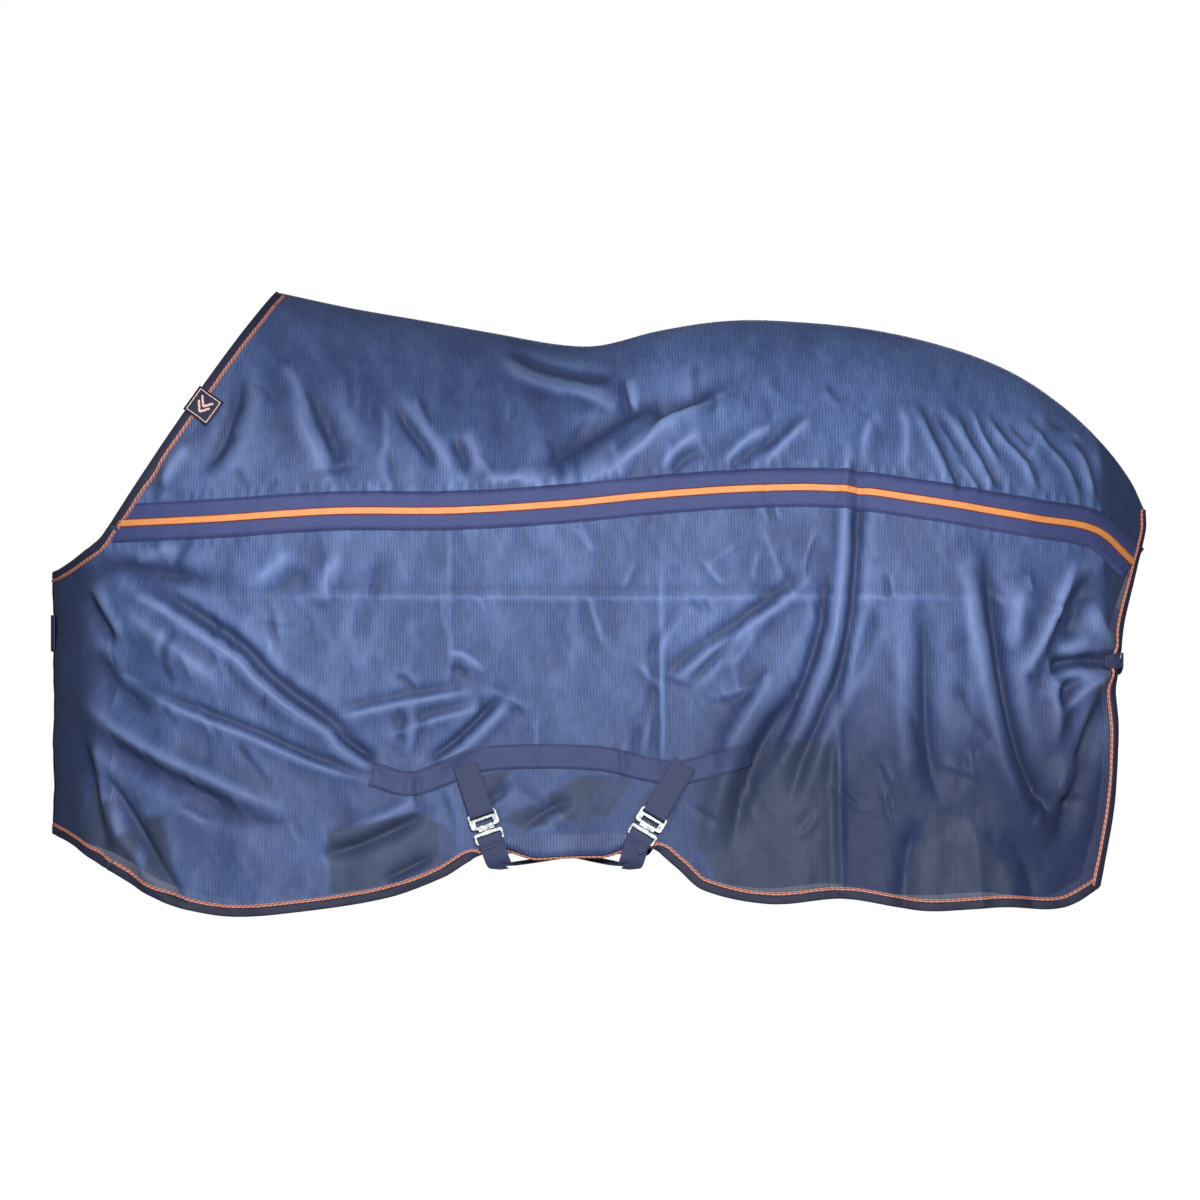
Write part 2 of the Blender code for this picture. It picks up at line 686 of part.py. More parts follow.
def make_t_hook(name, frame):
    """The male half: a body that holds the belly strap, and a tongue hooked through the slot."""
    top, window_top, window_low, foot = hook_levels()
    mesh = box_mesh(name, (PLATE_WIDTH, PLATE_THICK, top - foot), (0, 0, (top + foot) / 2))
    round_corners(mesh, PLATE_BAR)
    item = add_object(name, mesh, STEEL)
    item.matrix_world = frame
    cut_box(item, "window", (WINDOW_WIDTH, PLATE_THICK * 3, window_top - window_low),
            (0, 0, (window_top + window_low) / 2))
    leg = leg_of(TONGUE_THICK) + CLEAR
    bar_top = -PLATE_LENGTH / 2 + PLATE_BAR
    crown = bar_top + 2 * CLEAR + TONGUE_THICK / 2
    head_low = bar_top - HEAD_HEIGHT - PLATE_BAR * 0.6
    path = [(-leg * 0.3, top - 0.0035), (-leg, top - 0.0010), (-leg, bar_top - 0.0005),
            (-leg * 0.6, crown), (leg * 0.6, crown), (leg, bar_top - 0.0005), (leg, head_low + 0.001)]
    half = TONGUE_WIDTH / 2
    tongue = sheet_mesh("tongue", [[Vector((x, n, z)) for n, z in path] for x in (-half, half)])
    helper = join_solid(item, "tongue", tongue)
    shell = helper.modifiers.new("thickness", "SOLIDIFY")
    shell.thickness = TONGUE_THICK
    shell.offset = 0.0
    shell.use_even_offset = True
    head = box_mesh("head", (HEAD_WIDTH, TONGUE_THICK + 0.0006, HEAD_HEIGHT),
                    (0, leg + 0.0001, head_low + HEAD_HEIGHT / 2))
    join_solid(item, "head", head)


def make_slider(name, frame):
    """A three-bar slide: the webbing runs over its end bars and under its raised middle bar."""
    channel = STRAP_TAPE + 2 * CLEAR
    deep = channel + 2 * SLIDER_BAR
    mesh = box_mesh(name, (PLATE_WIDTH, deep, SLIDER_LENGTH), (0, 0, 0))
    round_corners(mesh, PLATE_RIM / 2)
    item = add_object(name, mesh, STEEL)
    item.matrix_world = frame
    bar = SLIDER_LENGTH / 7
    cut_box(item, "channel", (WINDOW_WIDTH, channel, SLIDER_LENGTH * 2), (0, 0, 0))
    front = channel / 2 + deep / 2
    for label, up in (("front_top", 1), ("front_low", -1)):
        span = SLIDER_LENGTH / 2
        cut_box(item, label, (WINDOW_WIDTH, deep, span), (0, front - 0.0001, up * (bar / 2 + span / 2)))
    cut_box(item, "back", (WINDOW_WIDTH, deep, SLIDER_LENGTH - 2 * bar), (0, 0.0001 - front, 0))


# ---------------------------------------------------------------- belly straps

def far_run(run, low):
    """The straight stretch of a belly strap on the far wall: its foot, its direction and its rise."""
    up = Vector((-math.sin(run["slant"]), 0, math.cos(run["slant"])))
    middle = Vector((along(run["share"]), HALF_WIDTH + RUN_OFFSET, DROP * run["level"]))
    foot = middle - up * ((middle.z - low - RUN_FOOT) / up.z)
    patch = height(GIRTH_LINE, middle.x) + PATCH_HEIGHT * PATCH_SEAT
    return foot, up, (patch - foot.z) / up.z


def make_belly_strap(name, near_frame, run, low, lift):
    """From the near T-hook, under the belly, up the far wall and onto the far patch."""
    _, _, window_low, hook_foot = hook_levels()
    leg = leg_of(STRAP_TAPE)
    crossing = window_low + HOOK_TRAVEL + 2 * CLEAR + STRAP_TAPE / 2
    close = STRAP_TAPE / 2 + CLEAR / 2
    loop = [(close, hook_foot - 0.010), (close, hook_foot - 0.006), (leg, hook_foot - 0.001),
            (leg, crossing - 0.003), (leg * LOOP_SIDE, crossing - leg * LOOP_CORNER), (0.0, crossing),
            (-leg * LOOP_SIDE, crossing - leg * LOOP_CORNER), (-leg, crossing - 0.003),
            (-leg, hook_foot - 0.001),
            (-close, hook_foot - 0.006), (-close, hook_foot - 0.010)]
    stations = local_stations(near_frame, loop)
    start = stations[-1][0]
    foot, up, rise = far_run(run, low)
    out_near, down, out_far = Vector((0, -1, 0)), Vector((0, 0, -1)), Vector((0, 1, 0))

    def crossing_knot(share, y, z, facing):
        return Vector((mix(start.x, foot.x, share), y, z)), facing.normalized()
    knots = [stations[-1],
             crossing_knot(0.03, start.y + 0.004, low + 0.013, out_near + down * 0.4),
             crossing_knot(0.06, start.y + 0.018, low + 0.003, out_near * 0.4 + down),
             crossing_knot(0.14, start.y + 0.050, low, down),
             crossing_knot(0.50, 0.0, low + lift, down),
             crossing_knot(0.86, foot.y - 0.050, low, down),
             crossing_knot(0.94, foot.y - 0.018, low + 0.003, out_far * 0.4 + down),
             crossing_knot(0.97, foot.y - 0.004, low + 0.013, out_far + down * 0.4)]
    for share in (0.0, 0.2, 0.5, 0.8):
        knots.append((foot + up * (rise * share), out_far))
    end = foot + up * (rise + 0.010)
    end.y = HALF_WIDTH + FABRIC / 2 + PATCH_TAPE + 2 * CLEAR + STRAP_TAPE / 2
    knots.append((end, out_far))
    ribbon(name, stations + spline_through(knots, 4)[1:], STRAP_WIDTH, STRAP_TAPE, WEBBING)


def slider_frame(run, low):
    foot, up, rise = far_run(run, low)
    frame = strap_frame(run["share"], run["level"], run["slant"], FAR, RUN_OFFSET)
    frame.translation = foot + up * (rise * 0.5)
    return frame


# ---------------------------------------------------------------- small pieces

def on_grid(rows, r, c):
    """The point and normal of a grid at a fractional row and column."""
    low = min(int(r), len(rows) - 2)
    (p, n), (q, m) = at_column(rows[low], c), at_column(rows[low + 1], c)
    return p.lerp(q, r - low), n.lerp(m, r - low).normalized()


def make_label(upper):
    """A woven label over the near neck binding."""
    lift = FABRIC / 2 + 2 * CLEAR + PIPING_RADIUS * 2 + LABEL_TAPE / 2
    neck = transpose(upper)
    half = LABEL_HEIGHT / 2 / (neck[0][LABEL_ROW + 1][0] - neck[0][LABEL_ROW][0]).length
    columns = [0.0, 1.0, after(upper[LABEL_ROW], 1.0, LABEL_WIDTH - BINDING_WIDTH)]
    rows = []
    for r in (LABEL_ROW + 0.5 - half, LABEL_ROW + 0.5 + half):
        spots = [on_grid(upper, r, c) for c in columns]
        rows.append([p + n * lift for p, n in spots])
    thick_sheet("neck_label", rows, LABEL_TAPE, NAVY_TAPE)


def chest_arc(side_y, lift):
    """A place on the front of the chest at a distance off the middle plane, lifted outwards."""
    angle = math.acos(side_y / HALF_WIDTH)
    x = CHEST_START - CHEST_DEPTH * math.sin(angle)
    normal = Vector((-math.sin(angle) / CHEST_DEPTH, math.cos(angle) / HALF_WIDTH, 0)).normalized()
    return Vector((x, side_y, 0)) + normal * lift


def chest_strip(name, spans, tape, material):
    """An upright strip round the chest, from (distance across, lift, height) spans."""
    rows = [[], []]
    for across, lift, tall in spans:
        spot = chest_arc(across, lift)
        for row, sign in zip(rows, (0.5, -0.5)):
            row.append(spot + Vector((0, 0, FLAP_LEVEL * DROP + sign * tall)))
    return thick_sheet(name, rows, tape, material)


def make_closure():
    """The pointed flap over the chest opening, and the touch-close patches under its end."""
    loop_lift = FABRIC / 2 + CLEAR + TOUCH_TAPE / 2
    over_binding = FABRIC / 2 + 2 * CLEAR + BINDING_TAPE
    flap_lift = over_binding + TOUCH_TAPE + 2 * CLEAR + FLAP_TAPE / 2
    root_lift = FABRIC / 2 + CLEAR + FLAP_TAPE / 2
    hook_lift = flap_lift - FLAP_TAPE / 2 - CLEAR - TOUCH_TAPE / 2
    steps = 5
    spans = [(-FLAP_ROOT, root_lift, FLAP_HEIGHT), (-FLAP_ROOT + 0.012, root_lift, FLAP_HEIGHT)]
    for i in range(steps + 1):
        across = mix(-CHEST_GAP - BINDING_WIDTH - 0.004, FLAP_REACH, i / steps)
        tall = FLAP_HEIGHT * ((1.0,) * (steps - 1) + FLAP_TAPER)[i]
        spans.append((across, flap_lift, tall))
    chest_strip("chest_flap", spans, FLAP_TAPE, WEBBING)
    near_edge, far_edge = FLAP_REACH - 0.006 - TOUCH_PATCH, FLAP_REACH - 0.006
    middle = (near_edge + far_edge) / 2
    tall = FLAP_HEIGHT * TOUCH_HEIGHT
    hook = [(a, hook_lift, tall) for a in (near_edge, middle, far_edge)]
    chest_strip("touch_hook_patch", hook, TOUCH_TAPE, TOUCH)
    loop = [(a, loop_lift, tall) for a in (near_edge, middle, far_edge)]
    chest_strip("touch_loop_patch", loop, TOUCH_TAPE, TOUCH)


def make_tail_strap(near, far):
    """A webbing strap between the rear edges, sewn to a small patch on each."""
    level = TAIL_STRAP_LEVEL * DROP
    sewn = FABRIC / 2 + 3 * CLEAR + ANCHOR_TAPE + STRAP_TAPE / 2
    over = FABRIC / 2 + 2 * CLEAR + PIPING_RADIUS * 2 + STRAP_TAPE / 2
    ends = []
    for side, grid in ((NEAR, near), (FAR, far)):
        edge = transpose(grid)[-1]
        k = max(i for i in range(len(edge) - 1) if edge[i][0].z >= level)
        k += (edge[k][0].z - level) / (edge[k][0].z - edge[k + 1][0].z)
        half = ANCHOR_SIZE / 2 / (edge[int(k) + 1][0] - edge[int(k)][0]).length
        start = len(grid[0]) - 2
        rows = []
        for r in (k - half, k + half):
            row = [on_grid(grid, r, c) for c in range(len(grid[0]))]
            first = after(row, start, -ANCHOR_SIZE - 3 * PIPING_RADIUS)
            stop = after(row, start, -3 * PIPING_RADIUS)
            inner = [float(c) for c in range(math.floor(first) + 1, math.ceil(stop))]
            rows.append([at_column(row, c) for c in [first] + inner + [stop]])
        overlay(f"{side_name(side)}_tail_anchor", rows, FABRIC / 2 + CLEAR, ANCHOR_TAPE, WEBBING)
        row = [on_grid(grid, k, c) for c in range(len(grid[0]))]
        inside, rim, tip = (at_column(row, c) for c in (after(row, start, -0.024), start, start + 1))
        out = (tip[0] - rim[0]).normalized()
        ends.append([(inside[0] + inside[1] * sewn, inside[1])]
                    + [(p + n * over, n) for p, n in (rim, tip)]
                    + [(tip[0] + tip[1] * over * 0.5 + out * 0.014, tip[1])])
    knots = ends[0] + ends[1][::-1]
    back = Vector((1, 0, 0))
    span = (knots[3][0] + knots[4][0]) / 2
    knots.insert(4, (span + Vector((TAIL_STRAP_BOW, 0, -TAIL_STRAP_BOW)), back))
    ribbon("tail_strap", spline_through(knots, 4), TAIL_STRAP_WIDTH, STRAP_TAPE, WEBBING)


# ---------------------------------------------------------------- the rug

NEAR_GRIDS = make_side(NEAR)
FAR_GRIDS = make_side(FAR)
make_chest(NEAR)
make_chest(FAR)
make_ridge_tape(NEAR_GRIDS[0], FAR_GRIDS[0])
make_label(NEAR_GRIDS[0])
make_closure()

make_tail_strap(NEAR_GRIDS[1], FAR_GRIDS[1])

for LABEL, TAB, RUN, LIFT in (("front", FRONT_TAB, REAR_RUN, 0.0),
                              ("rear", REAR_TAB, FRONT_RUN, STRAP_TAPE * 2)):
    TAB_PLACE = make_tab(f"near_{LABEL}_tab", TAB)
    make_slot_plate(f"near_{LABEL}_slot_plate", TAB_PLACE)
    make_t_hook(f"{LABEL}_t_hook", TAB_PLACE)
    make_belly_strap(f"{LABEL}_belly_strap", TAB_PLACE, RUN, STRAP_LOW, LIFT)
    make_slider(f"{LABEL}_strap_slider", slider_frame(RUN, STRAP_LOW))
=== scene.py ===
"""Sheer mesh horse rug, hanging as it hangs on a horse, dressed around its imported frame.

All sizes are in metres, in the frame's own axes: head towards -X, near side towards -Y, +Z up.
"""
import math

import bmesh
import bpy
import numpy as np
from mathutils import Matrix, Vector


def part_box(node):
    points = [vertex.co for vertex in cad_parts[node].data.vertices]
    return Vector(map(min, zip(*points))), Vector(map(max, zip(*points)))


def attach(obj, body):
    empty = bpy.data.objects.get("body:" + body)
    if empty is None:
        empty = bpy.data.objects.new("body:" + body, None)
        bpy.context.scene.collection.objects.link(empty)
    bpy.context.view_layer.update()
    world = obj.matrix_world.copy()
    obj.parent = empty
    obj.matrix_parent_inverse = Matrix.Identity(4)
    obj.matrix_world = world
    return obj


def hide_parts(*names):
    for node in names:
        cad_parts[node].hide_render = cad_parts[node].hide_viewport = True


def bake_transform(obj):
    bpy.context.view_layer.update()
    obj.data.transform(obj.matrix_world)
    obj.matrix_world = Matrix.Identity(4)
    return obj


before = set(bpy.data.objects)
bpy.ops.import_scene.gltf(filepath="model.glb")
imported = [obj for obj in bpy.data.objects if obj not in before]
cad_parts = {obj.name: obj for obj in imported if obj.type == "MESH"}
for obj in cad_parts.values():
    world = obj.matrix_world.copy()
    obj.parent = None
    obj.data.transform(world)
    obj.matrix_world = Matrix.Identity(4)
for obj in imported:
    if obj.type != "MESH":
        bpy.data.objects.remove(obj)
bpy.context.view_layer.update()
NEAR, FAR = -1, 1

# ---- the hanging surface, with the same driving sizes and outlines as the frame
LENGTH = 1.823
DROP = 1.030
HALF_WIDTH = 0.300
SHOULDER_DROP = 0.360
RIDGE_POWER = 0.62
CHEST_DEPTH = 0.420
RUMP_DEPTH = 0.420
NECK_SPAN = (-0.304, 0.0855)
CHEST_START = -0.5 * LENGTH + CHEST_DEPTH
RUMP_START = 0.5 * LENGTH + 0.008 - RUMP_DEPTH

# ---- outlines seen from the side, as shares of LENGTH and of DROP
CREST = [(0.204, 0.083), (0.270, 0.058), (0.338, 0.037), (0.405, 0.016), (0.464, -0.002),
         (0.500, -0.003), (0.555, 0.021), (0.618, 0.037), (0.681, 0.035), (0.754, 0.021),
         (0.826, -0.010), (0.881, -0.050), (0.926, -0.104), (0.962, -0.165), (0.987, -0.224),
         (0.999, -0.269)]
SEAM = [(0.059, -0.295), (0.152, -0.288), (0.261, -0.276), (0.369, -0.275), (0.464, -0.265),
        (0.546, -0.251), (0.627, -0.241), (0.709, -0.240), (0.804, -0.262), (0.885, -0.286),
        (0.948, -0.306), (0.988, -0.362)]
HEM = [(0.002, -0.795), (0.043, -0.829), (0.093, -0.883), (0.157, -0.915), (0.229, -0.909),
       (0.310, -0.886), (0.360, -0.854), (0.384, -0.828), (0.405, -0.812), (0.446, -0.805),
       (0.500, -0.802), (0.546, -0.809), (0.568, -0.838), (0.591, -0.873), (0.650, -0.896),
       (0.718, -0.888), (0.790, -0.907), (0.862, -0.902), (0.917, -0.905), (0.949, -0.875)]
CHEST_TOP = [(0.000, -0.372), (0.009, -0.366), (0.047, -0.322), (0.059, -0.295)]
GIRTH = [(0.000, -0.667), (0.294, -0.676), (0.392, -0.684), (0.464, -0.674), (0.546, -0.682),
         (0.627, -0.667), (1.000, -0.657)]
PATCH_LINE = [(-0.372, -0.712), (-0.310, -0.728), (-0.248, -0.709), (-0.210, -0.692),
              (-0.139, -0.684), (0.000, -0.687), (0.083, -0.705), (0.130, -0.710), (0.244, -0.680)]
REAR_EDGE = [(-0.901, 0.8186), (-0.776, 0.8441), (-0.644, 0.8532), (-0.561, 0.8514),
             (-0.471, 0.8623), (-0.373, 0.8897), (-0.313, 0.9079), (-0.277, 0.9097)]

# ---- trim
BAND_WIDTH = 0.064
STRIPE_WIDTH = 0.014
BINDING_WIDTH = 0.0135
PATCH_HEIGHT = 0.040
FAR_PATCH = (0.296, 0.634)
FAR_PATCH_HEIGHT = 0.050
PATCH_SEAT = 0.050 * 0.15
STRAP_WIDTH = 0.040
STRAP_TAPE = 0.0018
TAIL_LEVEL, TAIL_STRAP_WIDTH = -0.512, 0.025
CORD_RADIUS = 0.0016
# radius of the thin dark cord laid beside the piping as its painted shadow
SHADOW_CORD = 0.0009
FLAP_LEVEL = -0.470 * DROP

# ---- the girth edge rolls under between the surcingle tabs
ROLL_SPAN = (-0.215, 0.105)
ROLL_RADIUS = 0.014
ROLL_ANGLE = 2.6
HEM_SAG = 0.020

FOLD_GAIN = 1.7

# ---- folds of the near side: height and width, lean of a second, opposite fold beside it (plus is on
# the left of the way it runs), the line that it follows (x, z) and, if they don't fade, how open its
# two ends are
NEAR_FOLDS = [
    # from the neck corner down across the shoulder
    (.012, .012, .9, [(-.81, -.385), (-.70, -.45), (-.60, -.517), (-.56, -.558), (-.51, -.60),
      (-.435, -.65), (-.375, -.69)]),
    (.012, .036, 0, [(-.82, -.40), (-.74, -.47), (-.65, -.54), (-.585, -.60)]),
    (.006, .008, .7, [(-.79, -.56), (-.67, -.615), (-.565, -.655), (-.46, -.70), (-.34, -.735)]),
    (.013, .018, -.8, [(-.87, -.575), (-.80, -.635), (-.725, -.68), (-.65, -.715), (-.575, -.75),
      (-.47, -.79)]),
    (-.012, .018, .4, [(-.875, -.63), (-.835, -.74), (-.815, -.83)], (0, .5)),
    (-.012, .014, -.6, [(-.83, -.68), (-.765, -.80), (-.69, -.905)], (0, .45)),
    (-.010, .012, .5, [(-.857, -.406), (-.82, -.46), (-.793, -.51)]),
    (-.012, .024, 0, [(-.845, -.50), (-.80, -.57), (-.72, -.63)]),
    (-.008, .020, 0, [(-.86, -.40), (-.80, -.372), (-.69, -.39), (-.58, -.40)], (.3, 0)),
    # towards the front surcingle tab
    (-.012, .013, -.6, [(-.26, -.765), (-.33, -.80), (-.40, -.83), (-.47, -.845)]),
    (-.008, .010, .5, [(-.26, -.84), (-.31, -.865), (-.36, -.89)]),
    (-.010, .010, -.6, [(-.445, -.637), (-.40, -.668), (-.355, -.695)]),
    (-.010, .010, -.7, [(-.29, -.70), (-.22, -.645), (-.142, -.565)]),
    (.005, .008, .4, [(-.445, -.627), (-.375, -.609), (-.28, -.59), (-.19, -.576)]),
    (.004, .008, .4, [(-.36, -.657), (-.27, -.625), (-.18, -.604)]),
    (-.003, .009, .5, [(-.327, -.59), (-.322, -.68)]),
    (-.003, .008, -.5, [(-.285, -.60), (-.30, -.69)]),
    (.005, .009, 0, [(-.256, -.515), (-.22, -.52), (-.18, -.553)]),
    (-.009, .011, .5, [(-.14, -.725), (-.17, -.75), (-.205, -.78)]),
    (-.008, .011, .5, [(-.04, -.75), (-.09, -.775), (-.142, -.81)]),
    # hanging from the band over the shoulder
    (.006, .022, .5, [(-.498, -.345), (-.53, -.375), (-.585, -.42)]),
    (.006, .020, -.4, [(-.42, -.34), (-.44, -.39), (-.47, -.44)]),
    (-.005, .018, 0, [(-.35, -.34), (-.375, -.43), (-.40, -.53)]),
    (.004, .020, 0, [(-.68, -.335), (-.73, -.355), (-.78, -.37)]),
    # flat packing creases
    (.0018, .007, .5, [(-.248, -.10), (-.246, -.30), (-.244, -.50), (-.247, -.64)]),
    (.0020, .007, -.6, [(.099, -.30), (.100, -.45), (.101, -.60), (.102, -.74)]),
    (.0030, .007, -.6, [(.100, -.46), (.101, -.60), (.102, -.735)]),
    (.0015, .007, .5, [(-.75, -.425), (-.40, -.424), (.05, -.426), (.50, -.425), (.74, -.43)]),
    # fanning from the middle of the girth to the loin
    (.007, .011, .6, [(.104, -.571), (.15, -.538), (.20, -.50), (.297, -.434), (.36, -.375)]),
    (-.006, .010, -.5, [(.132, -.575), (.19, -.515), (.25, -.45)]),
    (-.016, .019, -.6, [(.335, -.54), (.30, -.60), (.265, -.66), (.24, -.72), (.222, -.79),
      (.212, -.86)]),
    (.008, .016, 0, [(.29, -.53), (.25, -.60), (.21, -.66), (.19, -.70)]),
    (-.009, .011, -.8, [(.425, -.10), (.422, -.20), (.418, -.31), (.41, -.43), (.39, -.56),
      (.385, -.66)]),
    (.005, .008, -.5, [(.388, -.60), (.39, -.75), (.393, -.90)], (0, .6)),
    (-.011, .013, .7, [(.362, -.35), (.363, -.45), (.34, -.54), (.30, -.64), (.24, -.745)]),
    (-.008, .014, .5, [(.405, -.48), (.375, -.58), (.33, -.69), (.30, -.79)]),
    (-.005, .012, 0, [(.45, -.42), (.435, -.50), (.40, -.58)]),
    # falling straight over the thigh
    (-.013, .021, -.5, [(.520, -.40), (.527, -.50), (.531, -.62), (.540, -.71), (.560, -.77)]),
    (.006, .020, 0, [(.595, -.38), (.60, -.55), (.60, -.72)]),
    (-.020, .019, -.7, [(.625, -.30), (.634, -.40), (.648, -.49), (.667, -.60), (.695, -.70),
      (.735, -.775), (.76, -.80)]),
    (.013, .015, .5, [(.728, -.50), (.738, -.55), (.745, -.62), (.738, -.69)]),
    (.011, .014, .7, [(.787, -.355), (.757, -.42), (.722, -.50), (.672, -.585)]),
    (-.014, .018, 0, [(.815, -.37), (.79, -.45), (.765, -.52)]),
    (.008, .020, 0, [(.69, -.39), (.68, -.46), (.67, -.52)]),
    # drawn towards the tail strap
    (-.014, .012, .6, [(.855, -.535), (.80, -.528), (.75, -.54), (.72, -.58)], (.3, 0)),
    (.011, .012, -.5, [(.855, -.54), (.79, -.575), (.75, -.63)], (.3, 0)),
    (-.016, .018, -.5, [(.85, -.55), (.82, -.62), (.79, -.70), (.765, -.78), (.74, -.84)], (.3, 0)),
    (.010, .013, 0, [(.855, -.52), (.82, -.47), (.815, -.42)], (.3, 0)),
    (.010, .024, 0, [(.79, -.68), (.77, -.73), (.765, -.76)]),
    (-.010, .020, 0, [(.52, -.78), (.50, -.85), (.495, -.94)], (0, 1)),
    (.007, .020, 0, [(.60, -.78), (.615, -.85), (.62, -.94)], (0, 1)),
    (-.007, .020, 0, [(.66, -.80), (.70, -.87), (.71, -.94)], (0, 1)),
    # drawn up over the croup
    (-.0055, .008, -.5, [(.515, -.08), (.548, -.15), (.583, -.235), (.59, -.262)]),
    (-.0050, .007, -.5, [(.582, -.10), (.61, -.16), (.645, -.225), (.66, -.27)]),
    (-.0060, .008, -.6, [(.634, -.11), (.67, -.157), (.71, -.205), (.73, -.265)]),
    (-.0050, .007, -.6, [(.70, -.117), (.745, -.165), (.785, -.215), (.80, -.28)]),
    (-.0060, .008, -.6, [(.785, -.15), (.815, -.205), (.828, -.28)]),
    (.005, .012, 0, [(.49, -.10), (.50, -.16), (.495, -.23)]),
    (.005, .013, .4, [(.46, -.11), (.43, -.17), (.425, -.24)]),
    # the dip behind the withers
    (-.024, .030, -.6, [(-.13, -.215), (-.075, -.203), (-.02, -.168), (.04, -.130), (.10, -.103),
      (.165, -.084), (.257, -.046)]),
    (-.012, .012, -.7, [(-.165, -.012), (-.13, -.030), (-.09, -.048), (-.017, -.064), (.03, -.064)]),
    (-.007, .008, .6, [(.034, -.060), (.040, -.135)]),
    (.007, .012, .5, [(.00, -.235), (.06, -.18), (.12, -.137), (.235, -.068)]),
    (.006, .010, -.6, [(.09, -.225), (.13, -.185), (.18, -.155)]),
    (.006, .010, -.6, [(.19, -.215), (.24, -.170), (.29, -.140)]),
    (.006, .010, .5, [(.260, -.215), (.31, -.165), (.355, -.125)]),
    (.005, .014, 0, [(-.08, -.235), (-.14, -.228), (-.21, -.235)]),
    (-.004, .006, .5, [(.548, -.11), (.60, -.20)]),
    (.0035, .006, .5, [(.61, -.105), (.625, -.16), (.66, -.215)]),
    (-.0035, .006, 0, [(.67, -.13), (.72, -.185)]),
    # below the neck edge
    (-.010, .017, .5, [(-.585, -.04), (-.595, -.11), (-.62, -.18), (-.665, -.24)]),
    (-.009, .018, -.5, [(-.50, -.05), (-.46, -.12), (-.43, -.18), (-.435, -.25)]),
    (-.007, .010, .7, [(-.34, -.10), (-.315, -.14), (-.285, -.18), (-.26, -.225)]),
    (.006, .016, 0, [(-.54, -.02), (-.49, -.09), (-.47, -.15)]),
    (.006, .014, 0, [(-.66, -.16), (-.70, -.21), (-.72, -.25)]),
    (-.005, .012, 0, [(-.715, -.20), (-.74, -.25)]),
    (-.006, .012, .5, [(-.245, -.16), (-.225, -.19), (-.215, -.235)]),
]

# ---- the far side hangs in its own, simpler folds
FAR_FOLDS = [
    (.013, .020, .7, [(-.81, -.385), (-.66, -.47), (-.52, -.56), (-.38, -.66)]),
    (.012, .028, -.6, [(-.86, -.58), (-.72, -.67), (-.55, -.75), (-.42, -.80)]),
    (-.012, .018, -.5, [(-.80, -.66), (-.74, -.80), (-.68, -.91)], (0, .45)),
    (-.010, .013, -.6, [(-.46, -.63), (-.39, -.69)]),
    (-.009, .012, .6, [(-.30, -.69), (-.20, -.60), (-.12, -.52)]),
    (.008, .016, .5, [(.12, -.58), (.22, -.49), (.34, -.39)]),
    (-.014, .020, -.6, [(.33, -.52), (.27, -.64), (.23, -.76), (.22, -.86)], (0, .4)),
    (-.010, .014, .5, [(.42, -.12), (.41, -.32), (.40, -.54), (.37, -.70)]),
    (-.013, .022, -.5, [(.53, -.36), (.54, -.55), (.56, -.74)]),
    (-.018, .020, .6, [(.63, -.31), (.66, -.50), (.70, -.70), (.75, -.79)]),
    (.012, .016, .5, [(.79, -.36), (.73, -.49), (.68, -.58)]),
    (-.014, .014, .6, [(.855, -.535), (.79, -.53), (.73, -.57)], (1, 0)),
    (-.014, .018, -.5, [(.85, -.55), (.81, -.65), (.76, -.80)], (1, 0)),
    (-.010, .013, -.6, [(.55, -.10), (.59, -.17), (.62, -.25)]),
    (-.010, .013, -.6, [(.64, -.11), (.69, -.17), (.73, -.25)]),
    (-.009, .012, -.6, [(.74, -.15), (.78, -.20), (.81, -.27)]),
    (-.020, .028, -.6, [(-.14, -.21), (-.02, -.165), (.10, -.105), (.24, -.05)]),
    (-.010, .017, .5, [(-.59, -.05), (-.61, -.15), (-.66, -.24)]),
    (-.009, .018, -.5, [(-.48, -.06), (-.44, -.15), (-.43, -.24)]),
    (-.008, .012, .6, [(-.33, -.10), (-.29, -.17), (-.25, -.23)]),
]

# ---- greyer painted see-through light in patches near the hem: the corners (x, z) of each place
SEE_THROUGH_LIGHT_PLACES = [
    [(-.87, -.83), (-.835, -.735), (-.82, -.765), (-.80, -.755), (-.79, -.80), (-.765, -.93), (-.88, -.86)],
    [(-.795, -.82), (-.76, -.80), (-.755, -.905), (-.785, -.90)],
    [(-.75, -.785), (-.71, -.78), (-.69, -.91), (-.74, -.90)],
    [(-.445, -.805), (-.30, -.775), (-.245, -.80), (-.245, -.87), (-.33, -.92), (-.435, -.92)],
    [(-.215, -.72), (-.14, -.70), (-.19, -.78)],
    [(-.03, -.715), (.055, -.715), (.015, -.78), (-.12, -.80), (-.165, -.79)],
    [(.08, -.74), (.105, -.73), (.10, -.81), (.05, -.79)],
    [(.175, -.71), (.30, -.66), (.385, -.66), (.395, -.92), (.20, -.90), (.15, -.81)],
    [(.535, -.775), (.60, -.785), (.655, -.86), (.68, -.93), (.48, -.93)],
    [(.85, -.36), (.89, -.36), (.875, -.45), (.845, -.44)],
]

# ---- painted shadow where the crossed straps lie behind the near side: the corners (x, z) of each
STRAP_SHADOWS = [
    [(-.150, -.715), (-.118, -.715), (-.030, -.815), (-.062, -.815)],
    [(.018, -.715), (.050, -.715), (-.030, -.815), (-.062, -.815)],
    [(-.265, -.80), (-.235, -.80), (-.225, -.87), (-.255, -.87)],
]


# ---- painted shade, where the cloth is coloured darker: how much, and the places along
# the rug (x) and up it (z) between which that comes in
PAINTED_SHADE_PLACES = [
    (0.75, (0.822, 0.836), (-0.13, -0.17)),  # below the croup, behind the last fold
    (0.42, (0.08, -0.12), (-0.25, -0.12)),  # the withers and the neck
    (0.85, (-0.790, -0.865), (-2, -1)),  # round the front of the chest, at every height
    (0.80, (0.770, 0.860), (-0.30, -0.42)),  # beside the tail
]


# ---------------------------------------------------------------- smooth lines and the surface

